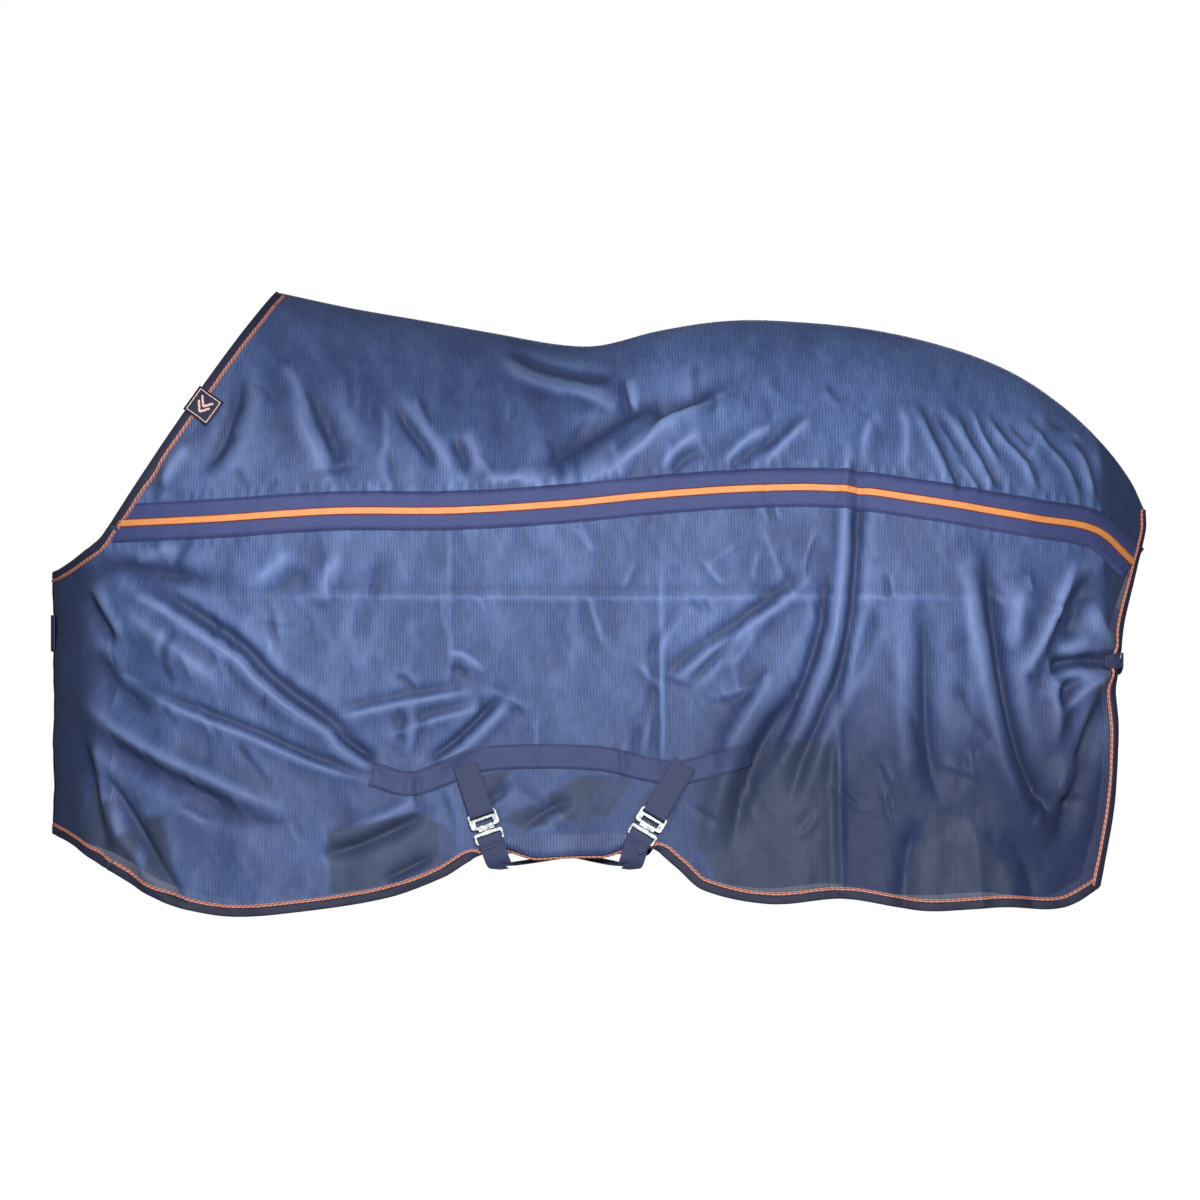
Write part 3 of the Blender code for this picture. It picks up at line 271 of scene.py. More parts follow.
def smooth(points, values):
    """Values on a smooth curve through points that run in rising first value."""
    xs, ys = np.array(points, float).T
    low = np.maximum(np.arange(len(xs)) - 1, 0)
    high = np.minimum(np.arange(len(xs)) + 1, len(xs) - 1)
    slopes = (ys[high] - ys[low]) / (xs[high] - xs[low])
    v = np.clip(values, xs[0], xs[-1])
    k = np.clip(np.searchsorted(xs, v, side="right") - 1, 0, len(xs) - 2)
    span = xs[k + 1] - xs[k]
    t = (v - xs[k]) / span
    return ((2 * t**3 - 3 * t**2 + 1) * ys[k] + (t**3 - 2 * t**2 + t) * slopes[k] * span
            + (3 * t**2 - 2 * t**3) * ys[k + 1] + (t**3 - t**2) * slopes[k + 1] * span)


def along(share):
    """Place along the rug for a share of its length."""
    return (share - 0.5) * LENGTH


def height(outline, x):
    """Height of an outline at a place along the rug."""
    return DROP * smooth(outline, np.asarray(x, float) / LENGTH + 0.5)


def hem_height(side, x):
    """Height of the hem. It sags a little more on the near side, between the two tabs."""
    sag = step(-0.17, -0.10, x) * step(0.07, 0.0, x) if side == NEAR else 0.0
    return height(HEM, x) - HEM_SAG * sag


def mix(a, b, t):
    return a + (b - a) * t


def step(low, high, value):
    """0 up to low and 1 from high on, with a smooth change between them."""
    t = np.clip((value - low) / (high - low), 0, 1)
    return t * t * (3 - 2 * t)


def curve_through(knots, steps):
    """Points on a smooth curve through knots of any dimension."""
    p = np.array(knots, float)
    if len(p) < 3:
        return p[0] + (p[1] - p[0]) * np.linspace(0, 1, steps + 1)[:, None]
    p = np.vstack([2 * p[0] - p[1], p, 2 * p[-1] - p[-2]])
    t = np.arange(steps)[:, None] / steps
    found = []
    for a, b, c, d in zip(p, p[1:], p[2:], p[3:]):
        found.append(0.5 * (2 * b + (c - a) * t + (2 * a - 5 * b + 4 * c - d) * t**2
                            + (3 * b - a - 3 * c + d) * t**3))
    return np.vstack(found + [p[-2:-1]])


def half_width(x, z):
    """Distance of the cloth from the middle plane at a place seen from the side."""
    fall = np.clip((height(CREST, x) - z) / SHOULDER_DROP, 0, 1)
    section = (1 - (1 - fall) ** 2) ** RIDGE_POWER
    chest = np.sqrt(np.maximum(0, 1 - (np.minimum(x - CHEST_START, 0) / CHEST_DEPTH) ** 2))
    rump = np.sqrt(np.maximum(0, 1 - (np.maximum(x - RUMP_START, 0) / RUMP_DEPTH) ** 2))
    return HALF_WIDTH * section * chest * rump


def fold_field(folds, x, z):
    """How far the folds push each place out of the plain surface."""
    total = np.zeros(x.shape)
    for tall, wide, lean, knots, *open_ends in folds:
        ends = open_ends[0] if open_ends else (0, 0)
        line = curve_through(knots, 6)
        reach = 4 * wide
        close = ((x > line[:, 0].min() - reach) & (x < line[:, 0].max() + reach)
                 & (z > line[:, 1].min() - reach) & (z < line[:, 1].max() + reach))
        if not close.any():
            continue
        spot = np.stack([x[close], z[close]], -1)[:, None, :] - line[None, :-1]
        run = np.diff(line, axis=0)
        t = np.clip((spot * run).sum(-1) / (run * run).sum(-1), 0, 1)
        gap = spot - t[..., None] * run
        distance = np.sqrt((gap * gap).sum(-1))
        k = distance.argmin(1)
        rows = np.arange(len(k))
        turn = run[k, 0] * gap[rows, k, 1] - run[k, 1] * gap[rows, k, 0]
        off = np.where(turn >= 0, 1, -1) * distance[rows, k] / wide
        share = (k + t[rows, k]) / len(run)
        taper = (mix(ends[0], 1, step(0, 0.35, share)) * mix(ends[1], 1, step(0, 0.35, 1 - share)))
        beside = abs(lean) * np.exp(-(((off - 1.6 * np.sign(lean)) / 1.25) ** 2))
        total[close] += tall * taper * (np.exp(-np.abs(off) ** 1.5) - beside)
    return total * FOLD_GAIN


def fine_creases(seed, count):
    """Short thin creases scattered over the side, most of them falling steeply."""
    rng = np.random.default_rng(seed)
    found = []
    for _ in range(count):
        x, z = rng.uniform(-0.78, 0.80), rng.uniform(-0.80, -0.06)
        turn, long = rng.normal(-1.3, 0.55), rng.uniform(0.03, 0.11)
        bend = rng.normal(0, 0.25)
        knots = [(x + long * t * math.cos(turn + bend * t), z + long * t * math.sin(turn + bend * t))
                 for t in (-0.5, -0.2, 0.2, 0.5)]
        tall = rng.uniform(0.0010, 0.0026) * rng.choice((-1, 1))
        found.append((tall, rng.uniform(0.0045, 0.008), rng.uniform(-0.8, 0.8), knots))
    return found


def ripple(x, z, seed, size, stretch):
    """Gentle uneven waves, from a few sines in fixed directions."""
    rng = np.random.default_rng(seed)
    total = np.zeros(x.shape)
    for _ in range(14):
        turn = rng.normal(0, 0.6)
        pitch = size * rng.uniform(0.6, 1.8)
        phase = rng.uniform(0, 2 * math.pi)
        wave = (x * math.cos(turn) + z * math.sin(turn) / stretch) * 2 * math.pi / pitch
        total += np.sin(wave + phase + 1.3 * np.sin(z * 2 * math.pi / (pitch * 2.7) + phase * 3))
    return total / 5


FOLDS = {NEAR: NEAR_FOLDS + fine_creases(3, 150), FAR: FAR_FOLDS + fine_creases(4, 110)}


# height, seed, size and stretch of the ripples all over the cloth
RIPPLES = ((0.0020, 5, 0.080, 2.6), (0.0006, 15, 0.030, 1.8))
GATHER_PITCH = 0.021
GATHER_ABOVE, GATHER_BELOW = 0.0016, 0.0006
FLUTTER, FLUTTER_PITCH, FLUTTER_REACH = 0.005, 0.145, 0.16
# where the cloth lies flat behind the two straps, and over how far to each side
STRAPS_LIE, STRAPS_REACH = (-0.165, 0.085), 0.075


def relief(side, x, z):
    """Height of the folds, ripples and puckers over the plain surface."""
    total = fold_field(FOLDS[side], x, z)
    crest, seam = height(CREST, x), height(SEAM, x)
    for tall, seed, size, stretch in RIPPLES:
        total += tall * ripple(x, z, seed + side, size, stretch)
    # the cloth is gathered a little above and below the stiff band, and flatter under it
    gather = np.sin(x * 2 * math.pi / GATHER_PITCH + 2.2 * np.sin(x * 31) + 1.4 * np.sin(x * 67))
    for past, tall in ((z - seam - BAND_WIDTH / 2, GATHER_ABOVE), (seam - BAND_WIDTH / 2 - z, GATHER_BELOW)):
        total += tall * gather * np.exp(-((past - 0.008) / 0.009) ** 2)
    total *= 1 - 0.55 * np.exp(-((z - seam) / (BAND_WIDTH * 0.5)) ** 4)
    # it swings in and out towards the hem
    flutter = np.sin(x * 2 * math.pi / FLUTTER_PITCH + 1.7 * np.sin(x * 7) + side)
    total += FLUTTER * flutter * np.exp(-(z - hem_height(side, x)) / FLUTTER_REACH)
    # it is pressed flat behind the straps, and held by the bindings of the rear and neck edges
    under_straps = sum(np.exp(-((x - lie) / STRAPS_REACH) ** 4) for lie in STRAPS_LIE)
    calm = np.clip(under_straps, 0, 1) * step(-0.690, -0.730, z)
    total = mix(total, np.minimum(total, 0) * 0.5 - 0.0015, calm)
    total *= mix(0.45, 1, step(0, 0.05, smooth(REAR_EDGE, z) - x))
    neck_edge = np.interp(z, NECK_SPAN, [along(SEAM[0][0]), along(CREST[0][0])])
    total *= mix(0.15, 1, step(0, 0.055, np.where(z > NECK_SPAN[0], x - neck_edge, 1)))
    return total * step(0.0, 0.045, crest - z)


def roll_weight(x):
    """1 where the girth edge rolls under and 0 elsewhere."""
    return step(ROLL_SPAN[0], ROLL_SPAN[0] + 0.035, x) * step(ROLL_SPAN[1], ROLL_SPAN[1] - 0.035, x)


def hang(side, x, z):
    """Places on the draped cloth, for places seen from the side."""
    tiny = 0.001
    slope_x = (half_width(x + tiny, z) - half_width(x - tiny, z)) / (2 * tiny)
    slope_z = (half_width(x, z + tiny) - half_width(x, z - tiny)) / (2 * tiny)
    normal = np.stack([-slope_x, np.full(x.shape, float(side)), -slope_z], -1)
    normal /= np.linalg.norm(normal, axis=-1, keepdims=True)
    plain = np.stack([x, side * half_width(x, z), z], -1)
    spots = plain + normal * relief(side, x, z)[..., None]
    over_hem = np.clip(z - hem_height(side, x), 0, None)
    turned = np.clip(1 - over_hem / ROLL_RADIUS, 0, 1) * ROLL_ANGLE
    rolled = spots.copy()
    rolled[..., 1] -= side * ROLL_RADIUS * (1 - np.cos(turned))
    rolled[..., 2] = np.where(turned > 0, z + ROLL_RADIUS - over_hem - ROLL_RADIUS * np.sin(turned), z)
    return mix(spots, rolled, roll_weight(x)[..., None])


def cloth(side, x, z, lift=0.0):
    """Places a little above the draped cloth, along its own normal."""
    x, z = np.asarray(x, float), np.asarray(z, float)
    here = hang(side, x, z)
    if np.isscalar(lift) and lift == 0.0:
        return here
    tiny = 0.0015
    across = hang(side, x + tiny, z) - hang(side, x - tiny, z)
    up = hang(side, x, z + tiny) - hang(side, x, z - tiny)
    normal = np.cross(across, up)
    normal /= np.maximum(np.linalg.norm(normal, axis=-1, keepdims=True), 1e-12)
    normal *= -side
    return here + normal * np.asarray(lift)[..., None]


# ---------------------------------------------------------------- meshes

def new_object(name, data):
    item = bpy.data.objects.new(name, data)
    bpy.context.scene.collection.objects.link(item)
    return item


def grid_mesh(name, points, uv, side=NEAR, closed=False):
    """A smooth mesh over rows and columns of points, with a UV map in metres."""
    rows, columns = points.shape[:2]
    numbers = np.arange(rows * columns).reshape(rows, columns)
    if closed:
        numbers = np.vstack([numbers, numbers[:1]])
    a, b = numbers[:-1, :-1], numbers[:-1, 1:]
    c, d = numbers[1:, 1:], numbers[1:, :-1]
    order = (a, d, c, b) if side == NEAR else (a, b, c, d)
    faces = np.stack(order, -1).reshape(-1, 4)
    mesh = bpy.data.meshes.new(name)
    mesh.vertices.add(rows * columns)
    mesh.vertices.foreach_set("co", points.reshape(-1, 3).astype(np.float32).ravel())
    mesh.loops.add(faces.size)
    mesh.loops.foreach_set("vertex_index", faces.ravel().astype(np.int32))
    mesh.polygons.add(len(faces))
    mesh.polygons.foreach_set("loop_start", np.arange(0, faces.size, 4, dtype=np.int32))
    mesh.update(calc_edges=True)
    mesh.validate()
    layer = mesh.uv_layers.new(name="cloth")
    layer.data.foreach_set("uv", uv.reshape(-1, 2)[faces.ravel()].astype(np.float32).ravel())
    mesh.shade_smooth()
    return mesh


JOINT_X = along(0.059)


def piece(name, mesh, material, body, replaces=(), bends=False):
    """A finished piece on its body, in place of its plain frame nodes. One marked as bending is put on no
    body: its place is baked into its mesh."""
    item = new_object(name, mesh)
    for finish in material if isinstance(material, (list, tuple)) else [material]:
        mesh.materials.append(finish)
    if bends:
        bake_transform(item)
    else:
        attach(item, body)
    if replaces:
        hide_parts(*replaces)
    return item


def thicken(item, thickness, offset=-1.0):
    """Gives a surface its thickness, inwards unless the offset says otherwise."""
    shell = item.modifiers.new("thickness", "SOLIDIFY")
    shell.thickness = thickness
    shell.offset = offset
    return item


def lengths(points):
    """Distance along a line of points, from its start."""
    return np.concatenate([[0], np.cumsum(np.linalg.norm(np.diff(points, axis=0), axis=1))])


def metre_uv(points):
    """UV in metres from the lengths of the rows and columns of a grid."""
    u = np.stack([lengths(row) for row in points])
    v = np.stack([lengths(column) for column in points.transpose(1, 0, 2)], 1)
    return np.stack([u - u[:, :1], v], -1)


RIB_X = np.linspace(along(0.0), along(1.0), 900)
RIB_RUN = lengths(np.stack([RIB_X, half_width(RIB_X, np.full(900, -0.45))], -1))


def rib_uv(x, points):
    """UV for the cloth: ribs run straight down, courses follow its length from the ridge."""
    v = metre_uv(points)[..., 1]
    return np.stack([np.interp(x, RIB_X, RIB_RUN), v], -1)


def even_columns(count):
    """Shares from neck to tail that are closer together round the rump."""
    t = np.linspace(0, 1, count)
    return t + 0.035 * np.sin(math.pi * t) ** 2 * (2 * t - 0.2)


def tube(points, radius, sides=8):
    """Rings of points round a line, and their UV."""
    run = np.gradient(points, axis=0)
    run /= np.linalg.norm(run, axis=1, keepdims=True)
    first = np.cross(run, [0.31, 0.87, 0.41])
    first /= np.linalg.norm(first, axis=1, keepdims=True)
    second = np.cross(run, first)
    turn = np.arange(sides) * 2 * math.pi / sides
    ring = (np.cos(turn)[:, None, None] * first + np.sin(turn)[:, None, None] * second) * radius
    u = np.broadcast_to(lengths(points), (sides, len(points)))
    v = np.broadcast_to((turn * radius)[:, None], u.shape)
    return points + ring, np.stack([u, v], -1)


def joined(name, parts):
    """One mesh of several, each part keeping the material number given with it."""
    work = []
    for number, part in parts:
        part.polygons.foreach_set("material_index", np.full(len(part.polygons), number, np.int32))
        work.append(new_object("part", part))
    bpy.ops.object.select_all(action="DESELECT")
    for item in work:
        item.select_set(True)
    bpy.context.view_layer.objects.active = work[0]
    bpy.ops.object.join()
    result = work[0].data
    bpy.data.objects.remove(work[0])
    result.name = name
    result.materials.clear()
    return result


def embroidery(name, strokes, finishes, body):
    """Raised threads: each stroke is its finish's number, its line of points and its radius."""
    marks = []
    for number, line, radius in strokes:
        ring, uv = tube(line, radius, 6)
        marks.append((number, grid_mesh("mark", ring, uv, NEAR, closed=True)))
    return piece(name, joined(name, marks), finishes, body)


# ---------------------------------------------------------------- materials

def colour(text):
    """Linear colour from an sRGB hex value."""
    parts = [int(text[i:i + 2], 16) / 255 for i in (1, 3, 5)]
    return (*[p / 12.92 if p <= 0.04045 else ((p + 0.055) / 1.055) ** 2.4 for p in parts], 1.0)


def add(tree, kind, settings=None, links=None, **values):
    """Adds a node: settings are its properties, values its sockets by name, links its sources."""
    node = tree.nodes.new(kind)
    for key, value in (settings or {}).items():
        setattr(node, key, value)
    for key, value in values.items():
        node.inputs[key.replace("_", " ")].default_value = value
    for key, source in (links or {}).items():
        tree.links.new(source, node.inputs[key])
    return node


def feed(tree, node, values):
    """Gives each numbered socket its value, or a link where the value is another socket."""
    for number, value in values:
        if isinstance(value, bpy.types.NodeSocket):
            tree.links.new(value, node.inputs[number])
        else:
            node.inputs[number].default_value = value


def new_material(name, **values):
    """A material on one Principled shader, with the values of that shader's sockets by name."""
    material = bpy.data.materials.new(name)
    material.use_nodes = True
    shader = material.node_tree.nodes["Principled BSDF"]
    for key, value in values.items():
        shader.inputs[key.replace("_", " ")].default_value = value
    return material, material.node_tree, shader


def stripes(tree, source, pitch, direction="X", distortion=0.0):
    """Bands of a pitch in metres. A wave's period is 2 pi / (20 x scale)."""
    return add(tree, "ShaderNodeTexWave",
               {"wave_type": "BANDS", "bands_direction": direction, "wave_profile": "SIN"},
               {"Vector": source}, Scale=2 * math.pi / (20 * pitch), Distortion=distortion,
               Detail=1.0).outputs[0]


def noise(tree, stretch, detail, roughness=0.5):
    """Uneven tone over the piece's own UV, finer where the stretch is larger."""
    return add(tree, "ShaderNodeTexNoise", None, {"Vector": uv_source(tree, stretch)},
               Scale=1.0, Detail=detail, Roughness=roughness).outputs["Fac"]


def attribute(tree, name):
    return add(tree, "ShaderNodeAttribute", {"attribute_name": name}).outputs["Fac"]


def object_place(tree):
    return add(tree, "ShaderNodeTexCoord").outputs["Object"]


def ramp(tree, source, *stops):
    """Colour by value. Each stop is a place and a hex colour or a grey level."""
    node = add(tree, "ShaderNodeValToRGB", None, {"Fac": source})
    while len(node.color_ramp.elements) < len(stops):
        node.color_ramp.elements.new(0.5)
    for element, (place, shade) in zip(node.color_ramp.elements, stops):
        element.position = place
        element.color = colour(shade) if isinstance(shade, str) else (shade, shade, shade, 1.0)
    return node.outputs["Color"]


def uv_source(tree, stretch=(1, 1, 1)):
    """The piece's own UV, in metres along and across it."""
    uv = add(tree, "ShaderNodeUVMap", {"uv_map": "cloth"})
    return add(tree, "ShaderNodeMapping", None, {"Vector": uv.outputs["UV"]}, Scale=stretch).outputs[0]


def blend_colour(tree, mode, factor, a, b):
    """Mixes two colours. A factor, a or b may be a number, a colour or a socket."""
    node = add(tree, "ShaderNodeMix", {"data_type": "RGBA", "blend_type": mode})
    feed(tree, node, ((0, factor), (6, a), (7, b)))
    return node.outputs[2]


def sums(tree, operation, a, b):
    """Arithmetic on two numbers or sockets."""
    node = add(tree, "ShaderNodeMath", {"operation": operation})
    feed(tree, node, enumerate((a, b)))
    return node.outputs[0]


def bump(tree, shader, source, depth, strength=1.0):
    """Raises the shader's surface by a source, to a depth in metres."""
    node = add(tree, "ShaderNodeBump", None, {"Height": source}, Distance=depth, Strength=strength)
    tree.links.new(node.outputs["Normal"], shader.inputs["Normal"])


def knit_mesh():
    """Warp-knitted polyester mesh: fine upright ribs, a silky sheen, and just sheer enough that
    what lies behind it shows. The real ribs are 2 mm apart, drawn 5 mm apart so that they show."""
    material, tree, shader = new_material("warp_knit_mesh", Roughness=0.56, Sheen_Weight=0.04,
                                          Sheen_Roughness=0.5, Sheen_Tint=colour("#a9bbe6"),
                                          Specular_IOR_Level=0.36, IOR=1.38)
    plain = uv_source(tree)
    ribs = stripes(tree, plain, 0.005, "X")
    courses = stripes(tree, plain, 0.0036, "Y")
    streak = noise(tree, (330, 34, 1), 3.0, 0.65)
    cloud = noise(tree, (7, 5, 1), 4.0, 0.6)
    speck = noise(tree, (520, 420, 1), 1.0)
    base = ramp(tree, cloud, (0.32, "#465a8c"), (0.70, "#5e77ae"))
    base = blend_colour(tree, "MULTIPLY", 0.75, base, ramp(tree, ribs, (0.0, 0.62), (0.8, 1.0)))
    base = blend_colour(tree, "MULTIPLY", 0.75, base, ramp(tree, streak, (0.34, 0.58), (0.66, 1.0)))
    base = blend_colour(tree, "MULTIPLY", 0.60, base, ramp(tree, speck, (0.30, 0.62), (0.70, 1.0)))
    # the three mixes below paint light into the knit's colour: a painted highlight on fold crowns, painted
    # shade in hollows and over the darker zones, and greyer painted see-through light in patches near the hem
    pale = attribute(tree, "painted_see_through_light")
    for share, shade in ((attribute(tree, "ridge"), "#8ea3d6"), (attribute(tree, "painted_shade"), "#232c4c"),
                         (pale, "#323b52")):
        base = blend_colour(tree, "MIX", share, base, colour(shade))
    tree.links.new(base, shader.inputs["Base Color"])
    holes = sums(tree, "MULTIPLY", ribs, 0.035)
    cover = sums(tree, "SUBTRACT", 0.995, holes)
    tree.links.new(sums(tree, "SUBTRACT", cover, sums(tree, "MULTIPLY", pale, 0.05)),
                   shader.inputs["Alpha"])
    knit = sums(tree, "ADD", sums(tree, "MULTIPLY", ribs, 0.7), sums(tree, "MULTIPLY", courses, 0.3))
    bump(tree, shader, knit, 0.00035, 0.7)
    return material


def woven_tape(name, deep, light, rib=0.0024, edge=None, width=0.0, rough=0.72, sheen=0.25):
    """Grosgrain or webbing: ribs across the tape, a twill grain in them, and worn selvedges.
    With an edge colour, a line of it is woven along both selvedges."""
    material, tree, shader = new_material(name, Roughness=rough, Sheen_Weight=sheen,
                                          Sheen_Roughness=0.5, Sheen_Tint=colour(light))
    plain = uv_source(tree)
    ribs = stripes(tree, plain, rib, "X", 0.4)
    grain = stripes(tree, plain, rib * 0.8, "DIAGONAL")
    wear = noise(tree, (60, 200, 1), 4.0)
    both = sums(tree, "ADD", sums(tree, "MULTIPLY", ribs, 0.6), sums(tree, "MULTIPLY", grain, 0.4))
    base = ramp(tree, both, (0.05, deep), (0.85, light))
    base = blend_colour(tree, "MULTIPLY", 0.5, base, ramp(tree, wear, (0.3, 0.72), (0.62, 1.0)))
    if edge:
        across = add(tree, "ShaderNodeSeparateXYZ", None, {"Vector": plain}).outputs["Y"]
        off = sums(tree, "ABSOLUTE", sums(tree, "SUBTRACT", across, width / 2), 0.0)
        line = sums(tree, "GREATER_THAN", off, width / 2 - 0.0022)
        base = blend_colour(tree, "MIX", line, base, colour(edge))
    tree.links.new(base, shader.inputs["Base Color"])
    bump(tree, shader, both, 0.0004, 0.8)
    return material


def twisted_cord(name, deep, light, rough=0.6):
    """Corded piping: a slanting twist round a thin cord."""
    material, tree, shader = new_material(name, Roughness=rough, Sheen_Weight=0.2,
                                          Sheen_Tint=colour(light))
    twist = stripes(tree, uv_source(tree, (1, 1.4, 1)), 0.0045, "DIAGONAL")
    tree.links.new(ramp(tree, twist, (0.1, deep), (0.8, light)), shader.inputs["Base Color"])
    bump(tree, shader, twist, 0.0004, 0.6)
    return material


def plated_steel():
    """Nickel-plated pressed steel: bright, with faint polishing lines and dull handling marks."""
    material, tree, shader = new_material("nickel_plated_steel", Metallic=1.0)
    place = object_place(tree)
    line = add(tree, "ShaderNodeMapping", None, {"Vector": place}, Scale=(260, 260, 2600)).outputs[0]
    polish = add(tree, "ShaderNodeTexNoise", None, {"Vector": line}, Scale=1.0, Detail=3.0).outputs["Fac"]
    marks = add(tree, "ShaderNodeTexNoise", None, {"Vector": place}, Scale=170.0, Detail=5.0).outputs["Fac"]
    tree.links.new(ramp(tree, marks, (0.35, "#9aa0a3"), (0.65, "#c9ccca")), shader.inputs["Base Color"])
    rough = sums(tree, "ADD", sums(tree, "MULTIPLY", marks, 0.28), 0.14)
    tree.links.new(rough, shader.inputs["Roughness"])
    bump(tree, shader, polish, 0.00006, 0.5)
    return material


def touch_tape(name, pitch):
    """Woven nylon touch tape: a dense field of tiny hooks or loops."""
    material, tree, shader = new_material(name, Roughness=0.9, Sheen_Weight=0.4)
    place = object_place(tree)
    dots = add(tree, "ShaderNodeTexVoronoi", None, {"Vector": place}, Scale=1 / pitch).outputs["Distance"]
    tree.links.new(ramp(tree, dots, (0.1, "#2b3152"), (0.6, "#10131f")), shader.inputs["Base Color"])
    bump(tree, shader, dots, 0.0006, 0.8)
    return material


def floor_paint():
    """Matt pale studio floor, with a trace of unevenness."""
    material, tree, shader = new_material("matt_floor", Roughness=0.85)
    place = object_place(tree)
    tone = add(tree, "ShaderNodeTexNoise", None, {"Vector": place}, Scale=1.2, Detail=2.0).outputs["Fac"]
    tree.links.new(ramp(tree, tone, (0.3, "#eceded"), (0.7, "#f2f2f2")), shader.inputs["Base Color"])
    return material


MESH = knit_mesh()
BAND = woven_tape("navy_grosgrain", "#2b3560", "#3d487b", 0.0030, sheen=0.05)
STRIPE = woven_tape("orange_grosgrain", "#c9793c", "#e39a58", 0.0034, "#6b2c33", STRIPE_WIDTH, 0.6)
TAPE = woven_tape("navy_edge_binding", "#131529", "#20223e", 0.0026, sheen=0.05)
PATCH = woven_tape("navy_girth_patch", "#273156", "#35416c", 0.0022, rough=0.7, sheen=0.05)
WEB = woven_tape("navy_webbing", "#1d2443", "#2d365c", 0.0030, sheen=0.08)
CORD = twisted_cord("salmon_piping", "#93584f", "#c78873")
# dark cord that stands for the piping's painted shadow
PIPING_SHADOW_CORD = twisted_cord("painted_piping_shadow", "#3e1a2b", "#6a2f3c")
THREAD = twisted_cord("navy_thread", "#20264a", "#353c69", 0.5)
PALE_THREAD = twisted_cord("rose_thread", "#c99a9a", "#e6c3bd", 0.5)
ORANGE_THREAD = twisted_cord("orange_thread", "#c96a3a", "#f0a264", 0.5)
STEEL = plated_steel()
HOOKS = touch_tape("hook_tape", 0.0011)
LOOPS = touch_tape("loop_tape", 0.0016)


# ---------------------------------------------------------------- camera, light and floor

def make_studio():
    """A long, level lens square to the near side, soft light from the front, and a pale floor."""
    scene = bpy.context.scene
    camera = new_object("camera", bpy.data.cameras.new("camera"))
    camera.data.lens = 200
    camera.data.sensor_width = 36
    view_width, middle = 1.98, (0, -0.15, -0.429)
    distance = view_width * camera.data.lens / camera.data.sensor_width
    camera.location = (middle[0], middle[1] - distance, middle[2])
    camera.rotation_euler = (math.pi / 2, 0, 0)
    camera.data.clip_end = 100
    scene.camera = camera

    for name, place, size, power in (("key", (0.7, -6.4, 1.0), 1.5, 470),
                                     ("fill", (-3.0, -5.6, 0.6), 1.2, 110),
                                     ("back", (1.0, 6.5, 0.4), 2.4, 170)):
        light = new_object(name, bpy.data.lights.new(name, "AREA"))
        light.data.size = size
        light.data.energy = power
        light.location = place
        light.rotation_euler = (Vector((0, 0, -0.4)) - Vector(place)).to_track_quat("-Z", "Y").to_euler()

    world = bpy.data.worlds.new("studio")
    scene.world = world
    world.use_nodes = True
    tree = world.node_tree
    tree.nodes.clear()
    seen = add(tree, "ShaderNodeBackground", Color=(1, 1, 1, 1), Strength=1.0)
    cast = add(tree, "ShaderNodeBackground", Color=colour("#eef2f8"), Strength=0.14)
    ray = add(tree, "ShaderNodeLightPath")
    both = add(tree, "ShaderNodeMixShader")
    tree.links.new(ray.outputs["Is Camera Ray"], both.inputs[0])
    tree.links.new(cast.outputs[0], both.inputs[1])
    tree.links.new(seen.outputs[0], both.inputs[2])
    out = add(tree, "ShaderNodeOutputWorld")
    tree.links.new(both.outputs[0], out.inputs["Surface"])
    scene.view_settings.view_transform = "Standard"

    bpy.ops.mesh.primitive_circle_add(vertices=96, radius=1.85, fill_type="NGON", location=(0, 0, -1.6))
    floor = bpy.context.object
    floor.name = "floor"
    floor.data.transform(Matrix.Translation(floor.location))
    floor.location = (0, 0, 0)
    floor.data.materials.append(floor_paint())


# ---------------------------------------------------------------- the cloth

def side_name(side):
    return "near" if side == NEAR else "far"


def inside(corners, x, z, soft=0.0045):
    """1 inside a polygon and 0 outside it, with a soft edge."""
    hit = np.zeros(x.shape, bool)
    nearest = np.full(x.shape, 1.0)
    for (x0, z0), (x1, z1) in zip(corners, corners[1:] + corners[:1]):
        crosses = (z0 > z) != (z1 > z)
        with np.errstate(divide="ignore", invalid="ignore"):
            hit ^= crosses & (x < (x1 - x0) * (z - z0) / (z1 - z0) + x0)
        run_x, run_z = x1 - x0, z1 - z0
        t = np.clip(((x - x0) * run_x + (z - z0) * run_z) / (run_x**2 + run_z**2), 0, 1)
        nearest = np.minimum(nearest, np.hypot(x - x0 - t * run_x, z - z0 - t * run_z))
    return step(-soft, soft, np.where(hit, nearest, -nearest))


def softened(values, reach):
    """Values of a grid averaged over the cells around each one."""
    for axis in (0, 1):
        padded = np.pad(values, [(reach + 1, reach) if a == axis else (0, 0) for a in (0, 1)], "edge")
        total = np.cumsum(padded, axis=axis)
        size = values.shape[axis]
        values = (np.take(total, range(2 * reach + 1, 2 * reach + 1 + size), axis)
                  - np.take(total, range(size), axis)) / (2 * reach + 1)
    return values


